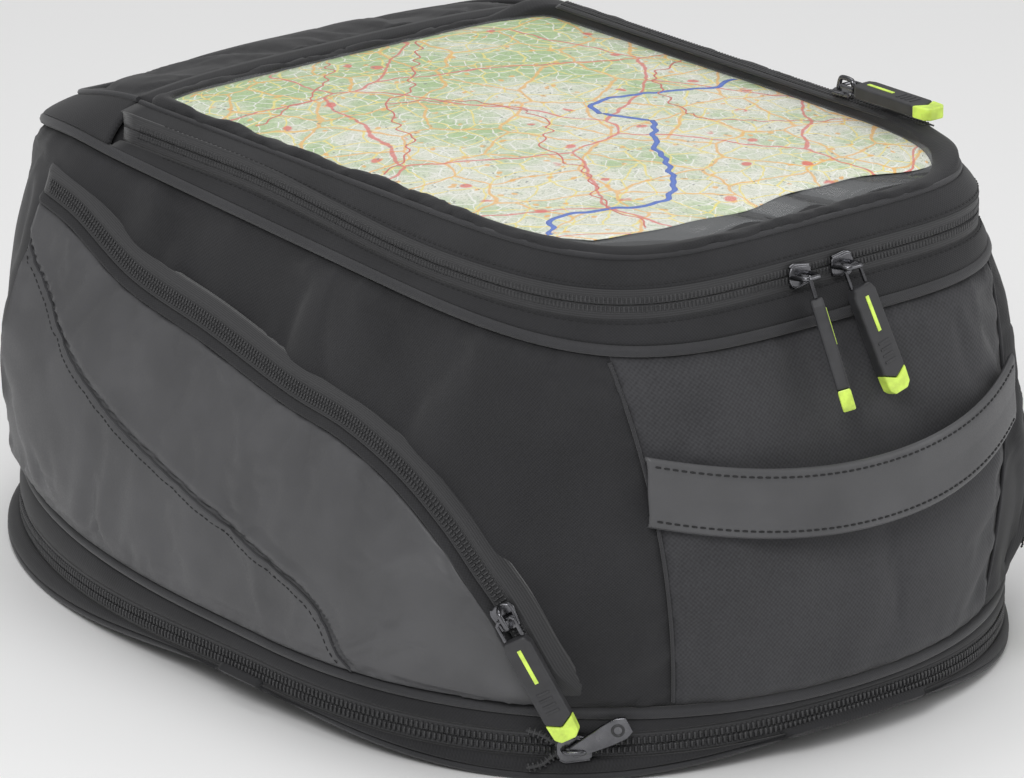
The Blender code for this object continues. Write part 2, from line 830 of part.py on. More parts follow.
def base_pieces(fabric, coil, board, piping):
    cord("base_welt", inset(FOOT, 1.6), foot_height, 1.6, 1.6, piping)
    band("base_band", (FOOT, foot_height, 3.5), (ZIP_LOW, base_zip_height, -8.1), fabric)
    base_zips(coil)
    slab("base_board", inset(ZIP_LOW, 7.0), 9.6, 12.3, board)
    gusset = ((ZIP_LOW, base_zip_height, -4.6), (WALL_LOW, wall_low_height, -6.5))
    band("gusset", *gusset, fabric, depth=(3.4, 7.0))


def lock_pieces(board, metal):
    """The ring that clips on a fuel tank's mounting ring, with its screws and its release lever."""
    flange = LOCK_TOP - FLANGE_THICKNESS
    profile = ((LOCK_INNER, 0.0), (LOCK_OUTER, 0.0), (LOCK_OUTER, flange), (LOCK_FLANGE, flange),
               (LOCK_FLANGE, LOCK_TOP), (LOCK_INNER, LOCK_TOP))
    turned("lock_ring", profile, LOCK_CENTRE, board)
    for i in range(4):
        angle = math.radians(45.0 + 90.0 * i)
        radius = 0.5 * (LOCK_OUTER + LOCK_FLANGE)
        spot = at(LOCK_CENTRE[0] + radius * math.cos(angle), LOCK_CENTRE[1] + radius * math.sin(angle), 0.0)
        head = (flange - GAP - 2.0, flange - GAP)
        extrude_outline(f"lock_screw_{i + 1}", circle(4.0, 12), *head, Matrix.Translation(spot), metal)
    points = ((-9.0, -20.0), (9.0, -20.0), (9.0, 20.0), (-9.0, 20.0))
    place = Matrix.Translation(at(LOCK_CENTRE[0], LOCK_CENTRE[1] - LOCK_FLANGE - 21.0, 0.0))
    extrude_outline("release_lever", points, 3.0, 8.0, place, board, bevel=1.0)


def base_slider(metal):
    """The expansion zip's slider, at the left corner of the handle end, with its flat metal tab."""
    s = 0.27
    outline = inset(ZIP_LOW, -0.2)
    x, y = outline_xy(outline, s)
    ahead_x, ahead_y = outline_xy(outline, s + 0.01)
    place = at(x, y, base_zip_height(x, y) - 4.05)
    way = Vector((ahead_x - x, ahead_y - y, 0.0)).normalized()
    outward = Vector((way.y, -way.x, 0.0))
    slider_body("base_slider", frame_at(place, way, outward), metal)
    pivot = frame_at(place + outward * (4.7 * MM), (way + Vector((0.0, 0.0, 0.55))).normalized(), outward)
    tab = both_sides(((-2.6, 0.5), (-3.2, -1.0), (-4.4, -6.0), (-4.4, -20.0), (-2.6, -23.0)))
    extrude_outline("base_tab", tab, -0.6, 0.6, pivot, metal, bevel=0.2)


def body_pieces(fabric, weave, leather, piping, coil, foam):
    low = (ZIP_LOW, base_zip_height, 0.0)
    high = (WALL_LOW, wall_low_height, -5.2)
    band("lower_band", low, high, fabric)
    cord("lower_piping", inset(WALL_LOW, 0.4), wall_low_height, -2.7, PIPING_RADIUS, piping)
    handle_end_panel(weave)
    side_panel("side_panel_left", -1, fabric)
    side_panel("side_panel_right", 1, fabric)
    far_end_panel(fabric)
    wall_liner(foam)
    for side, name in ((-1, "left"), (1, "right")):
        pocket_zip(f"pocket_zip_{name}", side, coil)
        pocket_panel(f"pocket_panel_{name}", side, leather)
    cord("collar_piping", inset(COLLAR, 0.6), collar_height, 0.0, PIPING_RADIUS, piping)
    end = HINGE_Y - 0.6
    collar_low = (COLLAR, collar_height, 2.8)
    collar_high = (ZIP_HIGH, zip_height, -COIL_ROW - 0.5)
    band("collar_band", collar_low, collar_high, fabric, s_values=open_steps(COLLAR, end), closed=False)
    zip_rows = ((ZIP_HIGH, zip_height, -0.2 - COIL_ROW), (ZIP_HIGH, zip_height, -0.2))
    places = open_steps(ZIP_HIGH, end - 10.0)
    band("main_zip_lower", *zip_rows, coil, depth=(0.4, 2.6), s_values=places, closed=False)
    hood_band(fabric)
    hood_top(fabric)
    lid_hinge(fabric)
    handle_strap(leather)


def main():
    clear_scene()
    fabric = material("body_fabric", (0.030, 0.030, 0.033), 0.85)
    weave = material("woven_nylon", (0.040, 0.040, 0.045), 0.75)
    leather = material("synthetic_leather", (0.085, 0.085, 0.088), 0.5)
    piping = material("piping", (0.055, 0.055, 0.058), 0.6)
    coil = material("zip_coil", (0.020, 0.020, 0.022), 0.45)
    foam = material("foam", (0.12, 0.12, 0.12), 0.9)
    board = material("base_board", (0.035, 0.035, 0.035), 0.6)
    metal = material("dark_metal", (0.10, 0.10, 0.11), 0.3, 0.9)
    rubber = material("pull_rubber", (0.030, 0.030, 0.032), 0.55)
    bright = material("bright_tip", (0.62, 0.85, 0.10), 0.5)
    clear = material("window_film", (0.80, 0.84, 0.86), 0.1)
    paper = material("map_paper", (0.80, 0.82, 0.70), 0.8)
    base_pieces(fabric, coil, board, piping)
    lock_pieces(board, metal)
    base_slider(metal)
    body_pieces(fabric, weave, leather, piping, coil, foam)
    lid_pieces(fabric, coil, foam, clear, paper)
    map_zip(coil)
    paints = (metal, rubber, bright)
    main_pulls(paints)
    pocket_pulls(-1, "pocket_left", paints)
    pocket_pulls(1, "pocket_right", paints)
    map_pull(paints)
    on_lid = [piece for piece in bpy.data.objects if piece.name.startswith(("lid_", "map_", "main_zip_upper"))]
    lid_axis([piece for piece in on_lid if piece.name != "lid_hinge"])


main()
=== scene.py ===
"""The looks of a soft motorcycle tank bag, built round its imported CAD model.

Lengths here are millimetres unless a name ends in _m or _M, and at() turns them into metres.
-Y is the handle end, and +Z is up.
"""

import math

import bpy
import numpy as np
from collections import namedtuple
from mathutils import Matrix, Vector, noise


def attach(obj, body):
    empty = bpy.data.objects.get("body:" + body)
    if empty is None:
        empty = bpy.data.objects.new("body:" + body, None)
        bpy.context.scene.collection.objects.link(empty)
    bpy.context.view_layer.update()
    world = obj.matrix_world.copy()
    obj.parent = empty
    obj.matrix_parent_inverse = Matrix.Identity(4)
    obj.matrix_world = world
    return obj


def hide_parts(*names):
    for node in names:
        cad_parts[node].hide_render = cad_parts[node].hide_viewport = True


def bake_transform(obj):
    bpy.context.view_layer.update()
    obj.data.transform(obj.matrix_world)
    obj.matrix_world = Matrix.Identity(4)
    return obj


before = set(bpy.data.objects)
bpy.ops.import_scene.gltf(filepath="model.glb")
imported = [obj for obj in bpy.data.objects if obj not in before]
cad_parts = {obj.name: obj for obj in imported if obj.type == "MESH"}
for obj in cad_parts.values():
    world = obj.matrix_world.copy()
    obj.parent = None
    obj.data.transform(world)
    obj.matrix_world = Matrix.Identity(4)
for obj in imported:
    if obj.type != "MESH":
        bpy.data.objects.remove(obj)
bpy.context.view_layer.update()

MM = 0.001
UP = (0.0, 0.0, 1.0)

# The outlines and seams, as in the CAD model.
Y_MIDDLE = 16.35
HINGE_Y = 80.0
LID_HEIGHT = 200.5
FOOT_ARCH = 9.2
COIL_ROW = 3.1
PIPING_RADIUS = 2.3
SEAM_TOP = 96.0
SEAM_BOTTOM = 79.0
FAR_SEAM = 62.0
WALL_BULGE = 5.0
STRAP_HALF_LENGTH = 93.0
STRAP_HEIGHT = 27.5
STRAP_BOW = 12.0
MAP_ZIP_X = 98.2
RIM_LIFT = 2.6
POCKET_RISE = 6.0
POCKET_SLIDER_RISE = POCKET_RISE + 1.0
MAIN_LOOP_RISE = 7.0
SMALL_LOOP_RISE = 4.6
PULL_FACE = 2.3
LINING_DEPTH = 5.2
PANEL_ROWS = 44
BASE_ZIP_DROP = -4.2

# Zip coils, as (pitch, width, height).
BASE_COIL = (2.15, 2.9, 1.7)
MAIN_COIL = (1.7, 2.6, 0.9)
SMALL_COIL = (1.7, 2.3, 1.0)

Outline = namedtuple("Outline", "width front front_centre back_centre back front_power back_power")

FOOT = Outline(157.5, -231.0, -72.0, -30.0, 213.0, 2.35, 2.45)
ZIP_LOW = Outline(159.0, -233.0, -70.0, -28.0, 213.0, 2.2, 2.2)
WALL_LOW = Outline(158.0, -234.0, -68.0, -28.0, 212.0, 2.15, 2.15)
COLLAR = Outline(118.5, -217.0, -60.0, 35.0, 170.0, 4.0, 4.0)
ZIP_HIGH = Outline(112.5, -211.0, -60.0, 38.0, 164.0, 4.6, 4.2)
TOP = Outline(104.3, -204.0, -60.0, 40.0, 156.0, 5.0, 4.4)
LID = Outline(104.3, -204.0, -60.0, 30.0, HINGE_Y - 0.6, 5.0, 12.0)

FRONT_STEPS = 170
SIDE_STEPS = 40
BACK_STEPS = 120


def smooth(value):
    value = min(1.0, max(0.0, value))
    return value * value * (3.0 - 2.0 * value)


def lerp(a, b, part):
    return a + (b - a) * part


def steps(start, end, count):
    return [lerp(start, end, i / count) for i in range(count + 1)]


def at(x, y, z):
    return Vector((x, y + Y_MIDDLE, z)) * MM


def blend_outline(low, high, part, outset=0.0):
    mixed = [lerp(a, b, part) for a, b in zip(low, high)]
    mixed[0] += outset
    mixed[1] -= outset
    mixed[4] += outset
    return Outline(*mixed)


def inset(outline, distance):
    return blend_outline(outline, outline, 0.0, -distance)


def outline_xy(outline, s):
    """The outline's point at s.

    0 to 1 is the front curve, 1 to 2 the right side, 2 to 3 the back curve, and 3 to 4 the left side.
    """
    s = s % 4.0
    if 1.0 <= s < 2.0:
        return outline.width, lerp(outline.front_centre, outline.back_centre, s - 1.0)
    if s >= 3.0:
        return -outline.width, lerp(outline.back_centre, outline.front_centre, s - 3.0)
    if s < 1.0:
        angle, power, middle = math.pi * (1.0 + s), outline.front_power, outline.front_centre
        reach = outline.front_centre - outline.front
    else:
        angle, power, middle = math.pi * (s - 2.0), outline.back_power, outline.back_centre
        reach = outline.back - outline.back_centre
    across, along = math.cos(angle), math.sin(angle)
    spread = (abs(across) / outline.width) ** power + (abs(along) / reach) ** power
    radius = spread ** (-1.0 / power)
    return radius * across, middle + radius * along


def outward_xy(outline, s):
    """The outline's point at s and its outward direction."""
    x, y = outline_xy(outline, s)
    ahead_x, ahead_y = outline_xy(outline, s + 0.004)
    behind_x, behind_y = outline_xy(outline, s - 0.004)
    along = Vector((ahead_x - behind_x, ahead_y - behind_y)).normalized()
    return x, y, along.y, -along.x


def front_y(outline, x):
    reach = outline.front_centre - outline.front
    rest = 1.0 - (abs(x) / outline.width) ** outline.front_power
    return outline.front_centre - reach * max(rest, 0.0) ** (1.0 / outline.front_power)


def side_x(outline, y):
    if y < outline.front_centre:
        power = outline.front_power
        part = (outline.front_centre - y) / (outline.front_centre - outline.front)
    elif y > outline.back_centre:
        power = outline.back_power
        part = (y - outline.back_centre) / (outline.back - outline.back_centre)
    else:
        return outline.width
    return outline.width * max(1.0 - part**power, 0.0) ** (1.0 / power)


def front_s(outline, x):
    return math.atan2(outline.front_centre - front_y(outline, x), -x) / math.pi


def far_s(outline, x):
    reach = outline.back - outline.back_centre
    along = reach * (1.0 - (abs(x) / outline.width) ** outline.back_power) ** (1.0 / outline.back_power)
    return 2.0 + math.atan2(along, x) / math.pi


def loop_steps():
    front = [i / FRONT_STEPS for i in range(FRONT_STEPS)]
    right = [1.0 + i / SIDE_STEPS for i in range(SIDE_STEPS)]
    back = [2.0 + i / BACK_STEPS for i in range(BACK_STEPS)]
    left = [3.0 + i / SIDE_STEPS for i in range(SIDE_STEPS)]
    return front + right + back + left


def open_steps(outline, reach_y):
    """Places round the front between the two sides' points at y, from left to right."""
    if reach_y > outline.back_centre:
        x = side_x(outline, reach_y)
        right_end = 2.0 + math.atan2(reach_y - outline.back_centre, x) / math.pi
    else:
        right_end = 1.0 + (reach_y - outline.front_centre) / (outline.back_centre - outline.front_centre)
    side = [lerp(right_end, 1.0, i / 60) for i in range(60)]
    front = [i / FRONT_STEPS for i in range(FRONT_STEPS + 1)]
    return [1.0 - s for s in side] + front + list(reversed(side))


def far_steps(outline, start_y):
    """Places round the far end, from the right side's point at y to the left side's."""
    first = 2.0 + math.atan2(start_y - outline.back_centre, side_x(outline, start_y)) / math.pi
    return steps(first, 5.0 - first, 120)


# Heights of the seams.


def foot_height(x, y):
    angle = math.atan2((y + 50.0) / 182.0, x / 158.0)
    return FOOT_ARCH * math.cos(2.0 * angle) ** 2


def base_zip_height(x, y):
    return 18.8 + 0.006 * y + 0.26 * foot_height(x, y)


def wall_low_height(x, y):
    return 34.4 + 0.026 * y


def collar_height(x, y):
    return 178.9 + 0.055 * y - 14.0 * (max(y - 95.0, 0.0) / 63.0) ** 2


def zip_height(x, y):
    return 184.5 + 8.0 * smooth((y + 120.0) / 130.0)


def top_height(x, y):
    return LID_HEIGHT - 17.0 * (max(y - HINGE_Y, 0.0) / 68.0) ** 1.6


# Mesh makers.


def lengths(points):
    found = [0.0]
    for a, b in zip(points, points[1:]):
        found.append(found[-1] + (b - a).length)
    return found


def finish_mesh(name, points, faces, paint, uvs=None, sharp=50.0):
    data = bpy.data.meshes.new(name)
    data.from_pydata(points, [], faces)
    if uvs is not None:
        layer = data.uv_layers.new(name="metres")
        layer.data.foreach_set("uv", np.array(uvs, dtype=np.float32).ravel())
    data.shade_smooth()
    data.set_sharp_from_angle(angle=math.radians(sharp))
    data.materials.append(paint)
    made = bpy.data.objects.new(name, data)
    bpy.context.collection.objects.link(made)
    return made


def thicken(piece, thickness):
    """Gives a sheet a back, on the side away from its normals."""
    shell = piece.modifiers.new("thickness", "SOLIDIFY")
    shell.thickness = thickness * MM
    shell.offset = -1.0
    return piece


def grid(name, rows, paint, closed=False, thickness=0.0):
    """A sheet through rows of points, with a UV map in metres along and across it."""
    across = len(rows[0])
    last = across if closed else across - 1
    middle = list(rows[len(rows) // 2])
    u = lengths(middle + middle[:1] if closed else middle)
    v = lengths([row[across // 2] for row in rows])
    faces, uvs = [], []
    for j in range(len(rows) - 1):
        for i in range(last):
            k = (i + 1) % across
            faces.append((j * across + i, j * across + k, (j + 1) * across + k, (j + 1) * across + i))
            uvs += [(u[i], v[j]), (u[i + 1], v[j]), (u[i + 1], v[j + 1]), (u[i], v[j + 1])]
    made = finish_mesh(name, [p for row in rows for p in row], faces, paint, uvs)
    return thicken(made, thickness) if thickness else made


def tangents(points, closed=False):
    found = []
    for i in range(len(points)):
        ahead = points[(i + 1) % len(points)] if closed else points[min(i + 1, len(points) - 1)]
        behind = points[i - 1] if closed or i else points[0]
        found.append((ahead - behind).normalized())
    return found


def tube(name, points, outwards, radius, paint, closed=False, sides=10):
    """A round cord along points, each with an outward direction."""
    rows = [[] for _ in range(sides + 1)]
    for point, along, outward in zip(points, tangents(points, closed), outwards):
        up = along.cross(outward).normalized()
        outward = up.cross(along).normalized()
        for k in range(sides + 1):
            angle = 2.0 * math.pi * k / sides
            rows[k].append(point + (outward * math.cos(angle) + up * math.sin(angle)) * (radius * MM))
    columns = len(points)
    u = lengths(points + points[:1] if closed else points)
    faces, uvs = [], []
    for k in range(sides):
        low, high = k * columns, ((k + 1) % sides) * columns
        v_low, v_high = (2.0 * math.pi * radius * MM * m / sides for m in (k, k + 1))
        for i in range(columns if closed else columns - 1):
            j = (i + 1) % columns
            faces.append((low + i, low + j, high + j, high + i))
            uvs += [(u[i], v_low), (u[i + 1], v_low), (u[i + 1], v_high), (u[i], v_high)]
    if not closed:
        for end in (0, columns - 1):
            ring = [k * columns + end for k in range(sides)]
            faces.append(ring if end else ring[::-1])
            uvs += [(0.0, 0.0)] * sides
    return finish_mesh(name, [p for row in rows[:sides] for p in row], faces, paint, uvs, sharp=70.0)


def bead(length, width, height, sides=8):
    """A small bar with rounded ends, along local X, as (points, faces)."""
    points, faces = [], []
    ends = ((-1.0, 0.45), (-0.82, 0.9), (0.0, 1.0), (0.82, 0.9), (1.0, 0.45))
    for along, thick in ends:
        for k in range(sides):
            angle = 2.0 * math.pi * k / sides
            across, up = 0.5 * width * thick * math.cos(angle), 0.5 * height * thick * math.sin(angle)
            points.append((0.5 * length * along, across, up))
    for j in range(len(ends) - 1):
        for k in range(sides):
            m = (k + 1) % sides
            faces.append((j * sides + k, (j + 1) * sides + k, (j + 1) * sides + m, j * sides + m))
    faces.append(tuple(range(sides)))
    faces.append(tuple((len(ends) - 1) * sides + k for k in reversed(range(sides))))
    return points, faces


def stamp(name, template, places, paint):
    """Copies of a small shape. Each place is (origin, along, outward)."""
    local = np.array(template[0]) * MM
    points, faces = [], []
    for origin, along, outward in places:
        z = (outward - along * outward.dot(along)).normalized()
        y = z.cross(along)
        axes = np.array([along, y, z])
        start = len(points)
        points.extend((local @ axes + np.array(origin)).tolist())
        faces.extend([tuple(start + i for i in face) for face in template[1]])
    return finish_mesh(name, points, faces, paint)


def evenly(points, outwards, pitch, start=0.5, closed=False):
    """Places every pitch along a path, as (point, tangent, outward)."""
    if closed:
        points, outwards = points + points[:1], outwards + outwards[:1]
    run = lengths(points)
    count = int(run[-1] / (pitch * MM))
    found, j = [], 0
    for i in range(count):
        want = (i + start) * run[-1] / count
        while j < len(run) - 2 and run[j + 1] < want:
            j += 1
        part = (want - run[j]) / (run[j + 1] - run[j])
        along = (points[j + 1] - points[j]).normalized()
        outward = outwards[j].lerp(outwards[j + 1], part).normalized()
        found.append((points[j].lerp(points[j + 1], part), along, outward))
    return found


def stitches(name, points, outwards, pitch=3.0, length=1.9, thick=0.5):
    return stamp(name, bead(length, thick, thick, 6), evenly(points, outwards, pitch), THREAD)


def teeth(name, points, outwards, pitch, height, rise, start, closed=False):
    """One row of zip coil: a bar across the zip at every turn."""
    places = []
    for point, along, outward in evenly(points, outwards, pitch, start, closed):
        places.append((point, outward.cross(along).normalized(), outward))
    return stamp(name, bead(height, pitch * 0.62, rise, 6), places, COIL)


def coil_row(node, body, line, size, closed=False):
    """The row of coil that stands for a CAD node. Rows that face each other start half a turn apart."""
    start = 0.25 if body == "bag" else 0.75
    place(teeth(node + "_teeth", *line, *size, start, closed), body, "zip_coil", node)


def soft(x, y, z, size, seed=0.0):
    """Smooth noise from -1 to 1, with features of about that size."""
    return noise.noise(Vector((x / size, y / size, z / size + seed)))


def band_rows(low, high, s_values, count, swell):
    """Rows between two seams, each (outline, height, drop).

    swell(part, x, y, z) is how far the fabric stands out.
    """
    rows = []
    for part in steps(0.0, 1.0, count):
        outline = blend_outline(low[0], high[0], part)
        row = []
        for s in s_values:
            x, y, nx, ny = outward_xy(outline, s)
            z = lerp(low[1](x, y) + low[2], high[1](x, y) + high[2], part)
            out = swell(part, x, y, z)
            row.append(at(x + nx * out, y + ny * out, z))
        rows.append(row)
    return rows


def seam_line(outline, height, drop, s_values, out=0.0):
    """Points and outward directions along a seam."""
    points, outwards = [], []
    for s in s_values:
        x, y, nx, ny = outward_xy(outline, s)
        points.append(at(x + nx * out, y + ny * out, height(x, y) + drop))
        outwards.append(Vector((nx, ny, 0.0)))
    return points, outwards


def row_line(row, lift):
    """A row of a band as a line on its surface, with outward directions."""
    outwards = [Vector((along.y, -along.x, 0.0)).normalized() for along in tangents(row)]
    return [point + outward * (lift * MM) for point, outward in zip(row, outwards)][4:-4], outwards[4:-4]


def pillow(bulge, tuck=0.8, ripple=0.35, size=30.0, seed=0.0):
    """A swell for bands: tucked in at the seams, fuller between them, and slightly uneven."""

    def swell(part, x, y, z):
        full = math.sin(math.pi * part) ** 0.5
        return bulge * full - tuck * (1.0 - full) + ripple * full * soft(x, y, z, size, seed)

    return swell


def flat(low, high):
    """A swell for tape, which goes evenly from one distance to the other."""
    return lambda part, x, y, z: lerp(low, high, part)


def tape(name, body, outline, height, drops, s_values, count, swell, closed=False):
    """A strip of zip tape between two drops from one seam."""
    low, high = ((outline, height, drop) for drop in drops)
    rows = band_rows(low, high, s_values, count, swell)
    place(grid(name, rows, TAPE, closed, 0.8), body, "zip_coil")


def spanning_rows(outline, y_values, count, height):
    """Rows from side to side of an outline. height(x, y) gives z."""
    rows = []
    for y in y_values:
        half = side_x(outline, y)
        rows.append([at(x, y, height(x, y)) for x in steps(-half, half, count)])
    return rows


def face_up(piece):
    if piece.data.polygons[0].normal.z < 0:
        piece.data.flip_normals()
    return piece


CLOTH_FRAMES = 16
MOST_OUT = 2.6
MOST_IN = -0.6
CLOTH_SETTINGS = {
    "quality": 4,
    "mass": 0.15,
    "vertex_group_mass": "sewn",
    "tension_stiffness": 15.0,
    "compression_stiffness": 15.0,
    "shear_stiffness": 6.0,
    "bending_stiffness": 1.2,
    "tension_damping": 12.0,
    "use_pressure": True,
    "air_damping": 4.0,
}


def settle(piece, swell, growth, seed):
    """Lets slack cloth buckle and swell between its sewn edges, then keeps a limited part of that."""
    data = piece.data
    before = [v.co.copy() for v in data.vertices]
    normals = [v.normal.copy() for v in data.vertices]
    edges = {}
    for face in data.polygons:
        for key in face.edge_keys:
            edges[key] = edges.get(key, 0) + 1
    border = sorted({i for key, count in edges.items() if count == 1 for i in key})
    pins = piece.vertex_groups.new(name="sewn")
    pins.add(border, 1.0, "REPLACE")
    for i, v in enumerate(data.vertices):
        v.co = v.co + normals[i] * (0.25 * MM * noise.noise(v.co * 90.0 + Vector((seed, 0.0, 0.0))))
    cloth = piece.modifiers.new("cloth", "CLOTH")
    cloth.settings.effector_weights.gravity = 0.0
    for key, value in CLOTH_SETTINGS.items():
        setattr(cloth.settings, key, value)
    cloth.settings.shrink_min = -growth
    cloth.settings.uniform_pressure_force = swell
    cloth.collision_settings.use_collision = False
    cloth.collision_settings.use_self_collision = False
    scene = bpy.context.scene
    cloth.point_cache.frame_start = 1
    cloth.point_cache.frame_end = CLOTH_FRAMES
    for number in range(1, CLOTH_FRAMES + 1):
        scene.frame_set(number)
    shaped = piece.evaluated_get(bpy.context.evaluated_depsgraph_get()).data
    after = [v.co.copy() for v in shaped.vertices]
    piece.modifiers.remove(cloth)
    scene.frame_set(1)
    for v, start, end, normal in zip(data.vertices, before, after, normals):
        move = (end - start).dot(normal) / MM
        if math.isfinite(move):
            limited = MOST_OUT * math.tanh(move / MOST_OUT)
            v.co = start + normal * (max(limited, MOST_IN) * MM)
        else:
            v.co = start
    data.update()


def place(piece, body, slot, *nodes):
    """Attaches a finished piece to its body and hides the CAD nodes that it stands for. The slot is not used.
    """
    if nodes:
        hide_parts(*nodes)
    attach(piece, body)
    return piece


# Shader helpers.


class Paint:
    """A Principled material under construction."""

    def __init__(self, name, colour, roughness, metallic=0.0):
        self.material = bpy.data.materials.new(name)
        self.material.use_nodes = True
        self.tree = self.material.node_tree
        self.shader = self.tree.nodes["Principled BSDF"]
        self.set(Base_Color=(*colour, 1.0), Roughness=roughness, Metallic=metallic)
        self.colour = colour

    def put(self, made, inputs):
        """Sets or links a node's inputs by name, with _ for a space."""
        for key, value in inputs.items():
            self.feed(made.inputs[key.replace("_", " ")], value)
        return made

    def set(self, **inputs):
        self.put(self.shader, inputs)

    def node(self, kind, **inputs):
        return self.put(self.tree.nodes.new(kind), inputs)

    def feed(self, socket, value):
        if isinstance(value, bpy.types.NodeSocket):
            self.tree.links.new(value, socket)
        else:
            socket.default_value = value

    def math(self, operation, *values, kind="ShaderNodeMath"):
        made = self.tree.nodes.new(kind)
        made.operation = operation
        for socket, value in zip(made.inputs, values):
            self.feed(socket, value)
        return made.outputs[0]

    def wave(self, value, turns):
        return self.math("SINE", self.math("MULTIPLY", value, turns))

    def move(self, where, x, y):
        return self.math("ADD", where, (x, y, 0.0), kind="ShaderNodeVectorMath")

    def uv(self):
        """The UV map's two sockets, in metres."""
        source = self.node("ShaderNodeUVMap")
        source.uv_map = "metres"
        split = self.node("ShaderNodeSeparateXYZ", Vector=source.outputs[0])
        return source.outputs[0], split.outputs[0], split.outputs[1]

    def place(self):
        return self.node("ShaderNodeTexCoord").outputs["Object"]

    def noise(self, where, size_mm, detail=2.0, roughness=0.5):
        scale = 1000.0 / size_mm
        made = self.node("ShaderNodeTexNoise", Vector=where, Scale=scale, Detail=detail, Roughness=roughness)
        return made.outputs["Fac"]

    def cells(self, where, size_mm, feature="F1", dimensions="3D"):
        made = self.node("ShaderNodeTexVoronoi", Vector=where, Scale=1000.0 / size_mm)
        made.feature = feature
        made.voronoi_dimensions = dimensions
        return made.outputs["Distance"]

    def spread(self, value, low, high, to_low, to_high):
        made = self.tree.nodes.new("ShaderNodeMapRange")
        for socket, item in zip(made.inputs, (value, low, high, to_low, to_high)):
            self.feed(socket, item)
        return made.outputs[0]

    def mix(self, factor, a, b):
        made = self.tree.nodes.new("ShaderNodeMix")
        made.data_type = "RGBA"
        self.feed(made.inputs[0], factor)
        self.feed(made.inputs[6], a if isinstance(a, bpy.types.NodeSocket) else (*a, 1.0))
        self.feed(made.inputs[7], b if isinstance(b, bpy.types.NodeSocket) else (*b, 1.0))
        return made.outputs[2]

    def shade(self, factor, dark, light):
        """Varies the base colour between two multiples of it."""
        low = tuple(c * dark for c in self.colour)
        high = tuple(c * light for c in self.colour)
        self.set(Base_Color=self.mix(factor, low, high))

    def bump(self, height, strength, distance_mm):
        made = self.node("ShaderNodeBump", Strength=strength, Distance=distance_mm * MM, Height=height)
        if self.shader.inputs["Normal"].is_linked:
            before = self.shader.inputs["Normal"].links[0].from_socket
            self.tree.links.new(before, made.inputs["Normal"])
        self.set(Normal=made.outputs[0])

    def weave(self, pitch_mm):
        """A plain weave's height: threads that pass over and under each other."""
        _, u, v = self.uv()
        turns = math.pi / (pitch_mm * MM)
        product = self.math("MULTIPLY", self.wave(u, turns), self.wave(v, turns))
        return self.spread(product, -1.0, 1.0, 0.0, 1.0)


def fabric(name, colour, pitch, sheen=0.25, roughness=0.85, fleck=0.35):
    paint = Paint(name, colour, roughness)
    where = paint.place()
    threads = paint.weave(pitch)
    speck = paint.noise(where, 1.3, 3.0, 0.7)
    cloud = paint.noise(where, 38.0, 3.0)
    mottle = paint.math("ADD", paint.math("MULTIPLY", speck, fleck), paint.math("MULTIPLY", cloud, 0.5))
    tone = paint.math("ADD", paint.math("MULTIPLY", threads, 0.35), mottle)
    paint.shade(paint.spread(tone, 0.3, 0.95, 0.0, 1.0), 0.62, 1.5)
    paint.bump(threads, 0.55, 0.12)
    paint.bump(cloud, 0.35, 0.9)
    paint.set(Sheen_Weight=sheen, Sheen_Roughness=0.5, Specular_IOR_Level=0.3)
    return paint.material


def coated(name, colour, roughness, grain=1.1):
    """Synthetic leather: a fine pebble grain with a satin gloss."""
    paint = Paint(name, colour, roughness)
    where = paint.place()
    pebbles = paint.cells(where, grain)
    cloud = paint.noise(where, 30.0, 3.0)
    fine = paint.noise(where, 0.5, 2.0)
    paint.shade(paint.spread(cloud, 0.3, 0.7, 0.0, 1.0), 0.88, 1.12)
    gloss = paint.spread(fine, 0.3, 0.7, roughness - 0.06, roughness + 0.1)
    paint.set(Roughness=gloss, Specular_IOR_Level=0.45)
    paint.bump(pebbles, 0.35, 0.09)
    paint.bump(cloud, 0.3, 0.8)
    return paint.material


def moulded(name, colour, roughness, grain=0.4, metallic=0.0):
    """Moulded plastic, rubber or plated metal, with a fine texture and slight wear."""
    paint = Paint(name, colour, roughness, metallic)
    where = paint.place()
    fine = paint.noise(where, grain, 2.0)
    wear = paint.noise(where, 6.0, 4.0, 0.6)
    paint.shade(paint.spread(wear, 0.35, 0.65, 0.0, 1.0), 0.85, 1.2)
    paint.set(Roughness=paint.spread(wear, 0.3, 0.7, roughness - 0.07, roughness + 0.1))
    paint.bump(fine, 0.25, 0.05)
    return paint.material


def ribbed_tape(name, colour):
    """Zip tape: fine ribs along the zip."""
    paint = Paint(name, colour, 0.8)
    _, u, v = paint.uv()
    ribs = paint.wave(v, 2.0 * math.pi / (0.9 * MM))
    cross = paint.wave(u, 2.0 * math.pi / (0.7 * MM))
    height = paint.spread(paint.math("MULTIPLY_ADD", cross, 0.35, ribs), -1.35, 1.35, 0.0, 1.0)
    paint.shade(height, 0.6, 1.5)
    paint.bump(height, 0.6, 0.14)
    paint.set(Sheen_Weight=0.2)
    return paint.material


def clear_film():
    paint = Paint("clear_film", (0.85, 0.88, 0.9), 0.07)
    where = paint.place()
    cloud = paint.noise(where, 22.0, 2.0)
    paint.bump(cloud, 0.25, 1.2)
    paint.set(Roughness=paint.spread(paint.noise(where, 9.0, 3.0), 0.3, 0.7, 0.04, 0.14))
    paint.set(Alpha=0.07, Specular_IOR_Level=0.8, Coat_Weight=0.6, Coat_Roughness=0.05)
    return paint.material


# The map's nets of roads, as (size, width, colour, strength, seed).
ROAD_NETS = (
    (7.0, 0.05, (0.93, 0.93, 0.88), 0.9, 0.11),
    (15.0, 0.035, (0.93, 0.79, 0.22), 0.85, 0.37),
    (31.0, 0.026, (0.92, 0.50, 0.12), 0.8, 0.71),
    (74.0, 0.0115, (0.76, 0.12, 0.11), 0.8, 0.53),
)
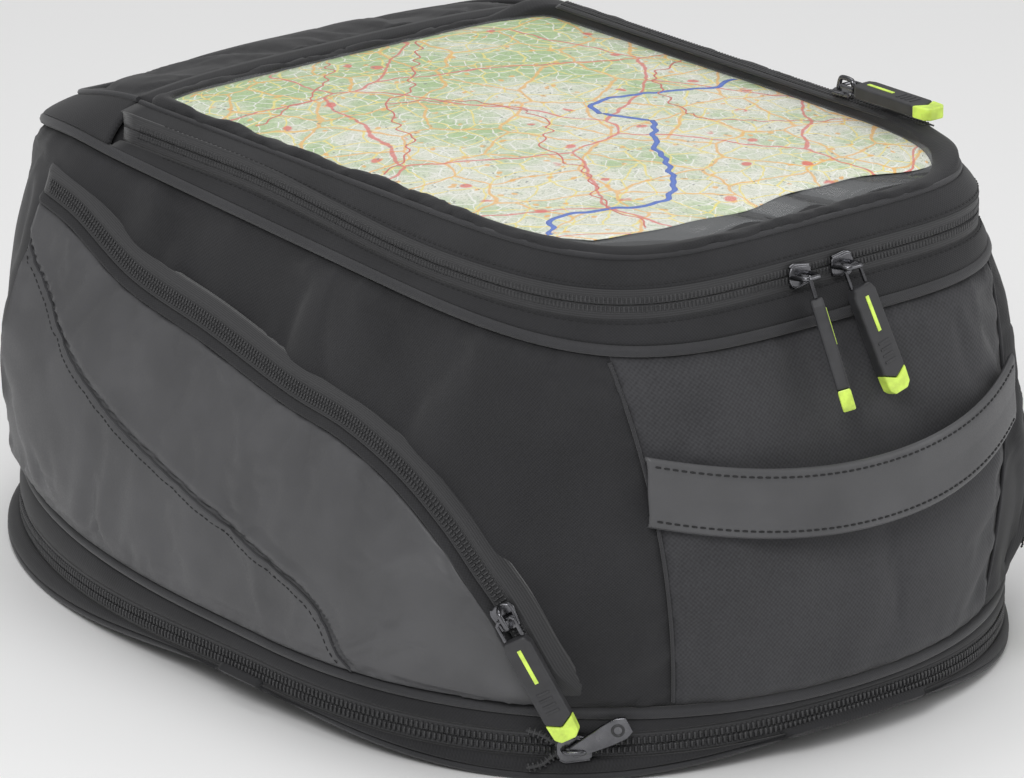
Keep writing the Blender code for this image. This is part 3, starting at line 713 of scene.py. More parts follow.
# The map's towns, as (size, radius, colour, seed).
TOWNS = (
    (11.0, 0.13, (0.90, 0.47, 0.10), 0.2),
    (37.0, 0.075, (0.78, 0.13, 0.10), 0.9),
    (6.5, 0.09, (0.22, 0.24, 0.22), 1.7),
)


def printed_map():
    """An invented road map: pale land, woods, contour lines, a net of small roads, and towns."""
    paint = Paint("printed_map", (0.82, 0.83, 0.74), 0.55)
    where, _, v = paint.uv()
    bend = paint.node("ShaderNodeTexNoise", Vector=where, Scale=45.0, Detail=3.0).outputs["Color"]
    bent = paint.math("MULTIPLY_ADD", bend, (0.012, 0.012, 0.0), where, kind="ShaderNodeVectorMath")
    woods = paint.noise(where, 42.0, 6.0, 0.62)
    far = paint.spread(v, 0.10, 0.25, -0.06, 0.1)
    green = paint.spread(paint.math("ADD", woods, far), 0.42, 0.6, 0.0, 1.0)
    colour = paint.mix(green, (0.80, 0.81, 0.70), (0.47, 0.64, 0.31))
    relief = paint.noise(where, 30.0, 5.0, 0.55)
    shadow = paint.spread(paint.noise(where, 5.0, 4.0, 0.7), 0.45, 0.72, 0.0, 0.5)
    colour = paint.mix(paint.math("MULTIPLY", shadow, green), colour, (0.26, 0.42, 0.20))
    lines = paint.math("PINGPONG", paint.math("MULTIPLY", relief, 34.0), 0.5)
    contour = paint.spread(lines, 0.035, 0.11, 0.6, 0.0)
    colour = paint.mix(contour, colour, (0.26, 0.33, 0.20))
    for size, width, tint, strength, seed in ROAD_NETS:
        net = paint.cells(paint.move(bent, seed, seed * 0.7), size, "DISTANCE_TO_EDGE", "2D")
        colour = paint.mix(paint.spread(net, width * 0.6, width, strength, 0.0), colour, tint)
    for size, radius, tint, seed in TOWNS:
        dots = paint.cells(paint.move(bent, seed, -seed), size, dimensions="2D")
        dot = paint.spread(dots, radius * 0.7, radius, 1.0, 0.0)
        some = paint.spread(paint.noise(where, 16.0, 2.0), 0.5, 0.54, 0.0, 0.85)
        colour = paint.mix(paint.math("MULTIPLY", dot, some), colour, tint)
    paint.set(Base_Color=colour)
    paint.bump(paint.noise(where, 70.0, 1.0), 0.3, 1.5)
    return paint.material


def ink(name, colour):
    paint = Paint(name, colour, 0.55)
    paint.shade(paint.noise(paint.place(), 5.0, 2.0), 0.85, 1.15)
    return paint.material


BODY = fabric("black_fabric", (0.024, 0.024, 0.026), 0.7, sheen=0.12)
WEAVE = fabric("ballistic_weave", (0.036, 0.036, 0.039), 0.95, sheen=0.16, fleck=0.7)
LEATHER = coated("grey_leather", (0.082, 0.082, 0.086), 0.44)
STRAP = coated("strap_leather", (0.080, 0.080, 0.084), 0.44, grain=0.8)
PIPING = fabric("piping_fabric", (0.034, 0.034, 0.037), 0.55, sheen=0.2, roughness=0.7)
TAPE = ribbed_tape("zip_tape", (0.030, 0.030, 0.032))
COIL = moulded("nylon_coil", (0.036, 0.036, 0.038), 0.33)
THREAD = moulded("black_thread", (0.012, 0.012, 0.013), 0.7)
METAL = moulded("black_nickel", (0.15, 0.15, 0.16), 0.22, metallic=1.0)
RUBBER = moulded("soft_plastic", (0.036, 0.036, 0.039), 0.5, grain=0.6)
BRIGHT = moulded("bright_plastic", (0.66, 0.88, 0.13), 0.38)
BOARD = moulded("base_plastic", (0.030, 0.030, 0.031), 0.55, grain=0.9)
FOAM = moulded("foam_cloth", (0.13, 0.13, 0.13), 0.9, grain=0.7)
FILM = clear_film()
MAP = printed_map()
RIVER = ink("river_ink", (0.06, 0.16, 0.62))
ROAD = ink("road_ink", (0.72, 0.16, 0.12))


# The base.


def folded_twice(part, x, y, z):
    return -2.4 - 11.0 * abs(math.sin(2.0 * math.pi * part))


def base_pieces():
    loop = loop_steps()
    low, high = (FOOT, foot_height, 3.2), (ZIP_LOW, base_zip_height, -8.6)
    rows = band_rows(low, high, loop, 10, pillow(0.9, 0.6, 0.5, 34.0))
    band = place(grid("base_band_cloth", rows, BODY, True, 2.0), "base", "body_fabric", "base_band")
    line = seam_line(inset(FOOT, 1.6), foot_height, 1.6, loop)
    place(tube("base_welt_cord", *line, 1.6, PIPING, True), "base", "piping", "base_welt")
    tapes = (("base_tape_lower", "base", (-9.0, -4.3)), ("base_tape_upper", "bag", (-3.9, 1.2)))
    for name, body, drops in tapes:
        tape(name, body, ZIP_LOW, base_zip_height, drops, loop, 3, flat(-0.9, -0.9), True)
    coils = (("base_zip_lower", "base", BASE_ZIP_DROP), ("base_zip_upper", "bag", BASE_ZIP_DROP + 3.4))
    for node, body, top in coils:
        line = seam_line(ZIP_LOW, base_zip_height, top - 0.5 * COIL_ROW, loop, -0.6)
        coil_row(node, body, line, BASE_COIL, True)
    low, high = (ZIP_LOW, base_zip_height, -5.4), (WALL_LOW, wall_low_height, -7.0)
    rows = band_rows(low, high, loop, 24, folded_twice)
    gusset = grid("folded_gusset", rows, BODY, True, 0.6)
    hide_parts("gusset")
    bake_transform(gusset)


def repaint(names, paint):
    for name in names:
        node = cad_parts[name]
        node.data.materials.clear()
        node.data.materials.append(paint)


# The walls.


def wall_outline(part, distance=0.0):
    return blend_outline(WALL_LOW, COLLAR, part, WALL_BULGE * math.sin(math.pi * part) - distance)


def wall_part(y, z):
    low = wall_low_height(0.0, y)
    return (z - low) / (collar_height(0.0, y) - low)


def side_point(side, y, z, out=0.0):
    return at(side * side_x(wall_outline(wall_part(y, z), -out), y), y, z)


def end_point(x, z):
    y = WALL_LOW.front
    for _ in range(6):
        y = front_y(wall_outline(wall_part(y, z)), x)
    return at(x, y, z)


def wall_relief(part, edge, x, y, z, seed):
    """How far a wall panel stands out: tucked at its edges, with soft vertical folds near the collar."""
    inside = smooth(min(part, 1.0 - part) / 0.045) * smooth(edge / 0.03)
    folds = 1.5 * noise.noise(Vector((x / 28.0, y / 28.0, z / 95.0 + seed))) * smooth(part / 0.3)
    return -1.3 * (1.0 - inside) + inside * (0.3 + folds + 0.5 * soft(x, y, z, 17.0, seed))


def wall_panel(name, places, columns, paint, slot, node, seed):
    rows = []
    for part in steps(0.0, 1.0, PANEL_ROWS):
        outline = wall_outline(part)
        s_values = places(part, outline)
        row = []
        for i, s in enumerate(s_values):
            x, y, nx, ny = outward_xy(outline, s)
            z = lerp(wall_low_height(x, y) - 1.4, collar_height(x, y) - 1.6, part)
            edge = min(i, len(s_values) - 1 - i) / columns
            out = wall_relief(part, edge, x, y, z, seed)
            row.append(at(x + nx * out, y + ny * out, z))
        rows.append(row)
    piece = grid(name, rows, paint)
    settle(piece, 1.5, 0.035, seed)
    thicken(piece, 2.0)
    place(piece, "bag", slot, node)


def liner():
    """The grey padded lining of the main compartment."""
    loop = loop_steps()
    rows = []
    for part in steps(0.03, 0.96, 40):
        row = []
        for s in loop:
            outline = wall_outline(part, LINING_DEPTH)
            x, y, nx, ny = outward_xy(outline, s)
            z = lerp(wall_low_height(x, y), collar_height(x, y) - 3.4, part)
            inward = 1.4 * abs(math.sin(math.pi * part * 4.0)) ** 0.5 + 0.5 * soft(x, y, z, 30.0, 3.0)
            row.append(at(x - nx * inward, y - ny * inward, z))
        rows.append(row)
    piece = grid("wall_lining", rows, FOAM, True)
    piece.data.flip_normals()
    place(thicken(piece, 2.4), "bag", "foam", "wall_liner")


def seam_x(part):
    return lerp(SEAM_BOTTOM, SEAM_TOP, part)


def end_places(part, outline):
    return steps(front_s(outline, -seam_x(part)), front_s(outline, seam_x(part)), 110)


def right_places(part, outline):
    front, far = front_s(outline, seam_x(part)), far_s(outline, FAR_SEAM)
    return steps(front, 1.0, 60)[:-1] + steps(1.0, 2.0, 30)[:-1] + steps(2.0, far, 60)


def left_places(part, outline):
    far, front = far_s(outline, -FAR_SEAM), 4.0 + front_s(outline, -seam_x(part))
    return steps(far, 3.0, 60)[:-1] + steps(3.0, 4.0, 30)[:-1] + steps(4.0, front, 60)


def far_places(part, outline):
    return steps(far_s(outline, FAR_SEAM), far_s(outline, -FAR_SEAM), 70)


def upright_seam(name, place_at):
    """The cord of folded cloth along an upright seam. place_at(part, outline) gives s on the outline."""
    points, outwards = [], []
    for part in steps(0.01, 0.99, 50):
        outline = wall_outline(part)
        x, y, nx, ny = outward_xy(outline, place_at(part, outline))
        z = lerp(wall_low_height(x, y), collar_height(x, y) - 3.4, part)
        points.append(at(x - 0.5 * nx, y - 0.5 * ny, z))
        outwards.append(Vector((nx, ny, 0.2)).normalized())
    place(tube(name, points, outwards, 0.75, PIPING, sides=8), "bag", "piping")


def walls():
    wall_panel("handle_end_cloth", end_places, 110, WEAVE, "woven_nylon", "handle_end_panel", 3.1)
    wall_panel("side_cloth_right", right_places, 150, BODY, "body_fabric", "side_panel_right", 7.7)
    wall_panel("side_cloth_left", left_places, 150, BODY, "body_fabric", "side_panel_left", 1.4)
    wall_panel("far_end_cloth", far_places, 70, BODY, "body_fabric", "far_end_panel", 5.9)
    upright_seam("seam_cord_left", lambda part, outline: front_s(outline, -seam_x(part)))
    upright_seam("seam_cord_right", lambda part, outline: front_s(outline, seam_x(part)))
    upright_seam("far_seam_cord_right", lambda part, outline: far_s(outline, FAR_SEAM))
    upright_seam("far_seam_cord_left", lambda part, outline: far_s(outline, -FAR_SEAM))
    loop = loop_steps()
    line = seam_line(inset(WALL_LOW, 0.4), wall_low_height, -2.7, loop)
    place(tube("lower_piping_cord", *line, PIPING_RADIUS, PIPING, True), "bag", "piping", "lower_piping")
    line = seam_line(inset(COLLAR, 0.6), collar_height, 0.0, loop)
    place(tube("collar_piping_cord", *line, PIPING_RADIUS, PIPING, True), "bag", "piping", "collar_piping")
    low, high = (ZIP_LOW, base_zip_height, 1.0), (WALL_LOW, wall_low_height, -4.6)
    rows = band_rows(low, high, loop, 8, pillow(0.7, 0.5, 0.3, 26.0, 2.0))
    band = place(grid("lower_band_cloth", rows, BODY, True, 1.8), "bag", "body_fabric", "lower_band")
    liner()


# The side pockets.

POCKET_ZIP = (
    (118.0, 166.0), (85.0, 162.0), (40.0, 148.0), (-10.0, 140.0), (-62.0, 130.0), (-100.0, 125.0),
    (-133.0, 115.0), (-158.0, 100.0), (-175.0, 82.0), (-184.0, 68.0), (-190.5, 51.0), (-194.0, 38.0),
)
POCKET_SEAM = (
    (117.0, 146.0), (90.0, 127.0), (71.0, 114.0), (39.0, 98.0), (9.0, 88.0), (-18.0, 80.0),
    (-44.5, 73.0), (-75.0, 65.0), (-93.0, 60.5), (-102.0, 55.5), (-108.0, 47.5), (-114.0, 38.0),
    (-120.0, 32.5),
)


def smooth_route(points, count):
    """Even places along a smooth curve through the points (Catmull-Rom)."""
    dense = []
    for i in range(len(points) - 1):
        p0 = Vector(points[max(i - 1, 0)])
        p1, p2 = Vector(points[i]), Vector(points[i + 1])
        p3 = Vector(points[min(i + 2, len(points) - 1)])
        for k in range(12):
            t = k / 12
            bend = (2 * p0 - 5 * p1 + 4 * p2 - p3) * t * t + (3 * p1 - p0 - 3 * p2 + p3) * t * t * t
            dense.append(0.5 * (2 * p1 + (p2 - p0) * t + bend))
    dense.append(Vector(points[-1]))
    run = lengths(dense)
    found, j = [], 0
    for i in range(count + 1):
        want = run[-1] * i / count
        while j < len(dense) - 2 and run[j + 1] < want:
            j += 1
        found.append(dense[j].lerp(dense[j + 1], (want - run[j]) / (run[j + 1] - run[j])))
    return found


def route_normal(route, i):
    along = (route[min(i + 1, len(route) - 1)] - route[max(i - 1, 0)]).normalized()
    across = Vector((along.y, -along.x))
    return across if across.y > 0 else -across


def wall_normal(route, i):
    """A step in y and z that goes 1 mm across the route on the curved wall."""
    spot = route[i]
    outline = wall_outline(wall_part(spot.x, spot.y))
    slope = side_x(outline, spot.x + 0.5) - side_x(outline, spot.x - 0.5)
    stretch = math.sqrt(1.0 + slope * slope)
    along = route[min(i + 1, len(route) - 1)] - route[max(i - 1, 0)]
    across = Vector((along.y, -along.x * stretch)).normalized()
    across = across if across.y > 0 else -across
    return Vector((across.x / stretch, across.y))


ROUTE_COUNT = 150
ROUTE = smooth_route(POCKET_ZIP + ((-195.0, 31.5),), ROUTE_COUNT)
SEAM_ROUTE = smooth_route(POCKET_SEAM, 90)


def end_fade(i):
    """The pocket sinks into the wall at both ends of its zip."""
    return smooth(min(i / 4.0, (ROUTE_COUNT - i) / 9.0 + 0.3))


def pocket_strip(name, side, profile, paint):
    """A strip along the pocket's zip, through (distance across, rise) pairs."""
    rows = []
    for across, rise in profile:
        row = []
        for i, spot in enumerate(ROUTE):
            point = spot + wall_normal(ROUTE, i) * across
            row.append(side_point(side, point.x, point.y, rise * end_fade(i)))
        rows.append(row if side < 0 else row[::-1])
    return grid(name, rows[::-1], paint)


def seam_distance(y, z):
    """The distance to the seam across the pocket's panel, positive above it."""
    best, above = 1e9, 1.0
    for a, b in zip(SEAM_ROUTE, SEAM_ROUTE[1:]):
        run = b - a
        part = min(1.0, max(0.0, (Vector((y, z)) - a).dot(run) / run.length_squared))
        away = Vector((y, z)) - (a + run * part)
        if away.length < best:
            best = away.length
            above = 1.0 if run.x * away.y - run.y * away.x < 0 else -1.0
    return best * above


def pocket_rise(part, i, y, z, side):
    """How far the pocket's panel stands off the wall."""
    body = lerp(5.8, 4.6, part) + 2.2 * math.sin(math.pi * min(1.0, part * 1.05)) ** 0.8
    foot = smooth((1.0 - part) / 0.10)
    rise = lerp(1.6, body, foot) * end_fade(i)
    away = seam_distance(y, z)
    crease = -1.5 * math.exp(-((away / 1.3) ** 2)) + 0.9 * math.exp(-(((away - 3.2) / 2.4) ** 2))
    folds = 0.8 * noise.noise(Vector((y / 30.0, z / 80.0, 4.0 * side))) + 0.35 * soft(y, z, 0.0, 14.0, side)
    return rise + (crease + folds) * smooth(part / 0.06) * foot


def pocket_panel(name, side):
    rows = []
    for part in steps(0.0, 1.0, 56):
        row = []
        for i, spot in enumerate(ROUTE):
            edge = spot - wall_normal(ROUTE, i) * 8.2
            foot_y = lerp(142.0, -190.0, i / ROUTE_COUNT)
            foot_z = wall_low_height(0.0, foot_y) + 0.3
            y, z = lerp(edge.x, foot_y, part**1.3), lerp(edge.y, foot_z, part)
            row.append(side_point(side, y, z, pocket_rise(part, i, y, z, side)))
        rows.append(row if side < 0 else row[::-1])
    panel = grid(name, rows[::-1], LEATHER)
    settle(panel, 1.8, 0.03, 2.0 + side)
    return panel


def surface_line(piece, route, side, lift):
    """A line on a finished panel, with outward directions."""
    points, outwards = [], []
    for spot in route:
        outward = side_outward(side, spot)
        hit, found, _, _ = piece.ray_cast(side_point(side, spot.x, spot.y, 2.5 * POCKET_RISE), -outward)
        if hit:
            points.append(found + outward * (lift * MM))
            outwards.append(outward)
    return points, outwards


def shifted(route, distance):
    return [spot + wall_normal(route, i) * distance for i, spot in enumerate(route)]


def pocket(side, word):
    panel = pocket_panel("pocket_leather_" + word, side)
    edge = ((5.9, -0.6), (5.7, 2.5), (5.2, 4.9), (4.6, 5.7), (3.9, 5.5), (2.6, 5.4), (0.6, 5.3), (-0.6, 5.3),
            (-2.6, 5.4), (-4.0, 5.4), (-4.5, 4.6))
    tape = pocket_strip("pocket_tape_" + word, side, edge, TAPE)
    binding = ((-4.3, 4.4), (-4.6, 5.9), (-5.3, 6.9), (-6.3, 7.2), (-7.3, 6.9), (-8.0, 6.0), (-8.5, 4.6))
    roll = pocket_strip("pocket_binding_" + word, side, binding, BODY)
    place(thicken(panel, 1.4), "bag", "synthetic_leather", "pocket_panel_" + word)
    place(thicken(tape, 1.0), "bag", "zip_coil", "pocket_zip_" + word)
    place(thicken(roll, 1.0), "bag", "body_fabric")
    for row, across in (("upper", 1.35), ("lower", -1.35)):
        spots = shifted(ROUTE, across)[5:-3]
        points = [side_point(side, spot.x, spot.y, 5.7) for spot in spots]
        outwards = [side_outward(side, spot) for spot in spots]
        start = 0.25 if across > 0 else 0.75
        coil = teeth(f"pocket_coil_{row}_{word}", points, outwards, *SMALL_COIL, start)
        place(coil, "bag", "zip_coil")
    line = surface_line(panel, SEAM_ROUTE, side, 0.1)
    place(tube("pocket_seam_cord_" + word, *line, 0.65, PIPING, sides=8), "bag", "synthetic_leather")
    line = surface_line(panel, shifted(SEAM_ROUTE, -3.2), side, 0.1)
    place(stitches("pocket_stitches_" + word, *line), "bag", "synthetic_leather")


def side_outward(side, spot):
    here = side_point(side, spot.x, spot.y)
    across = side_point(side, spot.x + 2.0, spot.y) - here
    upward = side_point(side, spot.x, spot.y + 2.0) - here
    found = across.cross(upward).normalized()
    return found if found.x * side > 0 else -found


# The carrying strap.


def strap_height(x):
    return 117.0 - 12.0 * (1.0 - (x / STRAP_HALF_LENGTH) ** 2)


def strap_gap(x):
    return 0.6 + STRAP_BOW * (1.0 - (x / STRAP_HALF_LENGTH) ** 2) ** 1.5


def strap_point(x, across, out):
    """A point on the strap: across is -1 at its lower edge and 1 at its upper edge."""
    rise = 0.5 * STRAP_HEIGHT * across
    base = end_point(x, strap_height(x) + rise)
    upright = end_point(x, strap_height(x))
    y = min(base.y, upright.y) - (strap_gap(x) + out) * MM
    return Vector((base.x, y, base.z))


def handle_strap():
    stitch_line = 0.77
    rows = []
    for across in steps(-1.0, 1.0, 32):
        groove = 0.35 * math.exp(-(((abs(across) - stitch_line) / 0.05) ** 2))
        out = 2.9 - 1.6 * abs(across) ** 10 - groove + 0.25 * (1.0 - across**2)
        rows.append([strap_point(x, across, out) for x in steps(-STRAP_HALF_LENGTH, STRAP_HALF_LENGTH, 120)])
    strap = grid("strap_leather_band", rows, STRAP, thickness=2.3)
    place(strap, "bag", "synthetic_leather", "handle_strap")
    for word, across in (("lower", -stitch_line), ("upper", stitch_line)):
        points = [strap_point(x, across, 2.75) for x in steps(-91.0, 91.0, 160)]
        outwards = [Vector((0.0, -1.0, 0.0))] * len(points)
        thread = stitches("strap_stitches_" + word, points, outwards, 3.3, 2.2, 0.8)
        place(thread, "bag", "synthetic_leather")


# The collar, the main zip, the lid and the hood.


def collar_and_zip():
    end = HINGE_Y - 0.6
    low, high = (COLLAR, collar_height, 2.2), (ZIP_HIGH, zip_height, -COIL_ROW - 2.6)
    rows = band_rows(low, high, open_steps(COLLAR, end), 8, pillow(0.5, 0.3, 0.35, 24.0, 4.0))
    band = place(grid("collar_cloth", rows, BODY, thickness=1.8), "bag", "body_fabric", "collar_band")
    place(stitches("collar_stitches", *row_line(rows[-2], 0.15)), "bag", "body_fabric")
    places = open_steps(ZIP_HIGH, end - 0.5)
    shorter = open_steps(ZIP_HIGH, end - 10.0)
    lower, upper = (-COIL_ROW - 3.0, -0.2), (0.2, COIL_ROW + 3.0)
    tape("main_tape_lower", "bag", ZIP_HIGH, zip_height, lower, places, 4, flat(-0.15, -0.65))
    tape("main_tape_upper", "lid", ZIP_HIGH, zip_height, upper, places, 4, flat(-0.65, -0.15))
    for node, body, drop in (("main_zip_lower", "bag", -1.7), ("main_zip_upper", "lid", 1.7)):
        coil_row(node, body, seam_line(ZIP_HIGH, zip_height, drop, shorter, -0.45), MAIN_COIL)


def lid():
    end = HINGE_Y - 0.6
    low, high = (ZIP_HIGH, zip_height, COIL_ROW + 2.6), (TOP, top_height, 0.0)
    rows = band_rows(low, high, open_steps(TOP, end), 10, pillow(0.9, 0.4, 0.45, 26.0, 6.0))
    band = place(grid("lid_band_cloth", rows, BODY, thickness=1.8), "lid", "body_fabric", "lid_band")
    place(stitches("lid_band_stitches", *row_line(rows[2], 0.15)), "lid", "body_fabric")
    line = seam_line(inset(TOP, 0.4), top_height, 0.3, open_steps(TOP, end - 1.0), 0.0)
    place(tube("lid_edge_cord", *line, 1.2, PIPING, sides=8), "lid", "piping")
    lid_rim()
    lid_lining()
    window()
    map_sheet()
    map_zip()


def lid_rim():
    """The padded edge round the window, higher on the side of the map zip."""
    profile = ((0.9, -0.9), (0.5, 0.5), (0.7, 1.8), (1.4, 2.9), (2.5, 3.6), (3.9, 3.8), (5.2, 3.6),
               (6.1, 2.9), (6.6, 1.9), (6.7, 0.9), (5.9, 0.3))
    loop = loop_steps()
    rows = []
    for distance, rise in profile:
        row = []
        for s in loop:
            x, y = outline_xy(inset(LID, distance), s)
            wide = smooth((x - 55.0) / 35.0)
            x, y = outline_xy(inset(LID, distance * (1.0 + 0.5 * wide)), s)
            lift = (RIM_LIFT + 0.8) * smooth((x - 70.0) / 25.0) if rise > 1.0 else 0.0
            uneven = 0.5 * soft(x, y, 0.0, 22.0, 9.0) * smooth((rise - 0.5) / 2.0)
            row.append(at(x, y, LID_HEIGHT + rise + lift + uneven))
        rows.append(row)
    rim = grid("lid_rim_cloth", rows, BODY, True)
    settle(rim, 0.5, 0.03, 5.0)
    thicken(rim, 0.9)
    place(rim, "lid", "body_fabric", "lid_rim")


def quilt_height(x, y):
    full = abs(math.sin(math.pi * x / 46.0) * math.sin(math.pi * (y + 10.0) / 46.0)) ** 0.35
    return 197.4 - 1.5 * full


def lid_lining():
    """The padded board under the map pocket, quilted in squares."""
    outline = inset(LID, 4.7)
    rows = spanning_rows(outline, steps(outline.front + 0.5, outline.back - 0.3, 90), 70, quilt_height)
    piece = grid("lid_board_cloth", rows, FOAM)
    piece.data.flip_normals()
    place(thicken(piece, 2.0), "lid", "foam", "lid_board")


def crown(x, y, outline):
    aside = abs(x) / outline.width
    middle = 0.5 * (outline.front + outline.back)
    along = abs(y - middle) / (0.5 * (outline.back - outline.front))
    return 4.2 * (1.0 - aside**2.5) * (1.0 - along**4)


def lid_sheet(name, outline, height, paint, wave):
    """A sheet that fills an outline on the lid. wave(x, y) is added to its height."""
    y_values = steps(outline.front + 0.4, outline.back - 0.3, 90)
    rows = spanning_rows(outline, y_values, 70, lambda x, y: height + crown(x, y, LID) + wave(x, y))
    return grid(name, rows, paint)


def film_wave(x, y):
    near = smooth((-135.0 - y) / 45.0)
    ripples = 1.7 * math.sin(x / 7.5 + 1.8 * math.sin(x / 23.0) + 0.09 * y) * near
    return ripples + 0.5 * soft(x, y, 0.0, 40.0, 2.0)


def window():
    backing = lid_sheet("map_pocket_cloth", inset(LID, 5.2), 200.9, BODY, lambda x, y: 0.0)
    place(thicken(backing, 0.5), "lid", "body_fabric", "map_pocket_back")
    film = lid_sheet("window_film_sheet", inset(LID, 5.4), 202.6, FILM, film_wave)
    place(thicken(film, 0.3), "lid", "window_film", "map_window")


def paper_height(x, y):
    near = smooth((-120.0 - y) / 60.0)
    return 201.6 + crown(x, y, LID) + 0.5 * math.sin(x / 17.0) * near


def map_sheet():
    rows = []
    for y in steps(-181.5, 72.6, 100):
        half = min(97.0, side_x(inset(LID, 6.4), y))
        xs = [x - 0.5 for x in steps(-half, half, 80)]
        rows.append([at(x, y + near_edge(x, y), paper_height(x, y)) for x in xs])
    sheet = grid("map_paper_sheet", rows, MAP)
    place(thicken(sheet, 0.15), "lid", "map_paper", "map_sheet")
    ribbons()


def near_edge(x, y):
    """The map's near edge isn't straight: it curls under the film."""
    near = smooth((-150.0 - y) / 34.0)
    corner = smooth((abs(x) - 74.0) / 22.0)
    return near * (2.0 * math.sin(x / 15.0) + 1.2 * math.sin(x / 6.5 + 1.0) - 2.0 * (x / 94.0) + 9.0 * corner)


RIVER_ROUTE = (
    (-92.0, -161.0), (-78.0, -146.0), (-48.0, -157.0), (-33.0, -157.0), (-14.0, -138.0), (-1.0, -117.0),
    (8.0, -100.0), (25.0, -81.0), (16.0, -65.0), (20.0, -49.0), (36.0, -48.0), (60.0, -54.0), (80.0, -57.0),
    (93.0, -52.0),
)
MAIN_ROADS = (
    ((-93.0, -60.0), (-70.0, -48.0), (-52.0, -20.0), (-40.0, 4.0), (-18.0, 14.0), (4.0, 40.0), (30.0, 69.0)),
    ((-60.0, -178.0), (-52.0, -140.0), (-36.0, -112.0), (-30.0, -80.0), (-8.0, -58.0), (-10.0, -20.0),
     (-40.0, 4.0)),
    ((93.0, -120.0), (66.0, -112.0), (44.0, -88.0), (50.0, -60.0), (72.0, -30.0), (93.0, -18.0)),
    ((-92.0, 20.0), (-60.0, 30.0), (-30.0, 52.0), (-18.0, 69.0)),
)


def ribbon(name, route, width, paint, wander):
    """A printed line on the paper, which wanders a little from side to side."""
    line = smooth_route(route, 160)
    rows = [[], []]
    for i, spot in enumerate(line):
        across = route_normal(line, i)
        off = across * (wander * soft(spot.x, spot.y, 0.0, 7.0, width) * 2.0)
        for row, edge in zip(rows, (-0.5, 0.5)):
            x = spot.x + off.x + across.x * width * edge
            y = spot.y + off.y + across.y * width * edge
            x = max(-93.4, min(93.4, x))
            row.append(at(x, y + near_edge(x, y), paper_height(x, y) + 0.06))
    place(thicken(face_up(grid(name, rows, paint)), 0.05), "lid", "map_paper")


def ribbons():
    ribbon("map_river", RIVER_ROUTE, 2.3, RIVER, 1.5)
    for i, route in enumerate(MAIN_ROADS):
        ribbon(f"map_road_{i + 1}", route, 0.75, ROAD, 2.2)


def map_zip():
    top = LID_HEIGHT + 4.6 + RIM_LIFT
    spots = steps(-158.0, 60.0, 110)
    section = ((4.3, -0.7), (2.6, 0.1), (0.4, 0.25), (-0.4, 0.25), (-2.6, 0.1), (-4.3, -0.7))
    rows = [[at(MAP_ZIP_X + x, y, top + z) for y in spots] for x, z in section]
    place(thicken(face_up(grid("map_tape", rows, TAPE)), 0.7), "lid", "zip_coil", "map_zip")
    for word, x, start in (("left", -1.3, 0.25), ("right", 1.3, 0.75)):
        points = [at(MAP_ZIP_X + x, y, top + 0.35) for y in spots]
        row = teeth("map_coil_" + word, points, [Vector(UP)] * len(points), *SMALL_COIL, start)
        place(row, "lid", "zip_coil")


def hood_rise(x, y):
    outline = inset(TOP, 2.0)
    aside = abs(x) / outline.width
    beyond = max(y - outline.back_centre, 0.0) / (outline.back - outline.back_centre)
    return 5.0 * max(1.0 - aside**3 - beyond**3, 0.0)


def hood_height(x, y):
    return top_height(x, y) + hood_rise(x, y) * (1.0 + 0.12 * soft(x, y, 0.0, 22.0, 1.0))


def hood():
    start = HINGE_Y + 0.6
    rows = band_rows((COLLAR, collar_height, 2.2), (TOP, top_height, 0.3), far_steps(TOP, start), 16,
                     pillow(2.2, 0.3, 0.6, 30.0, 8.0))
    band = place(grid("hood_band_cloth", rows, BODY, thickness=1.8), "bag", "body_fabric", "hood_band")
    points, outwards = seam_line(inset(TOP, 0.8), top_height, 0.9, far_steps(TOP, start), 0.0)
    place(tube("hood_seam_cord", points, outwards, 1.3, PIPING, sides=8), "bag", "piping")
    edge = inset(TOP, 1.4)
    rows = spanning_rows(edge, steps(HINGE_Y + 3.6, edge.back - 0.5, 40), 70, hood_height)
    top = grid("hood_top_cloth", rows, BODY)
    settle(top, 1.5, 0.035, 8.0)
    thicken(top, 1.6)
    place(top, "bag", "body_fabric", "hood_top")
    fold_strip()
    zip_ends()


def zip_ends():
    """Cloth behind each end of the main zip, which closes the corner under the hood."""
    for side, word in ((-1, "left"), (1, "right")):
        rows = []
        for part in steps(0.0, 1.0, 10):
            outline = blend_outline(COLLAR, TOP, part, -3.0)
            row = []
            for y in steps(HINGE_Y - 18.0, HINGE_Y + 8.0, 14):
                x = side_x(outline, y)
                z = lerp(collar_height(x, y) + 0.5, top_height(x, y) - 2.5, part)
                row.append(at(side * x, y, z))
            rows.append(row if side > 0 else row[::-1])
        gore = thicken(grid("zip_end_cloth_" + word, rows, BODY), 0.8)
        place(gore, "bag", "body_fabric")


def fold_strip():
    """The cloth on which the lid folds, from the rim's far edge to the hood."""
    half = side_x(TOP, HINGE_Y) - 3.0
    rows = []
    for beyond, z in ((-4.0, 203.6), (-2.0, 204.6), (0.0, 205.0), (2.0, 205.2), (4.2, 205.4)):
        y = HINGE_Y + beyond
        rows.append([at(x, y, z - 4.0 * (abs(x) / half) ** 4) for x in steps(-half, half, 60)])
    strip = thicken(grid("fold_cloth", rows, BODY), 0.9)
    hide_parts("lid_hinge")
    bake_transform(strip)


# Sliders and pulls.


def frame_at(spot, along, outward):
    """A matrix at a point, with Z outward and Y against the way the pull hangs."""
    y = -along.normalized()
    z = (outward - y * outward.dot(y)).normalized()
    x = y.cross(z)
    made = Matrix((x, y, z)).transposed().to_4x4()
    made.translation = spot
    return made


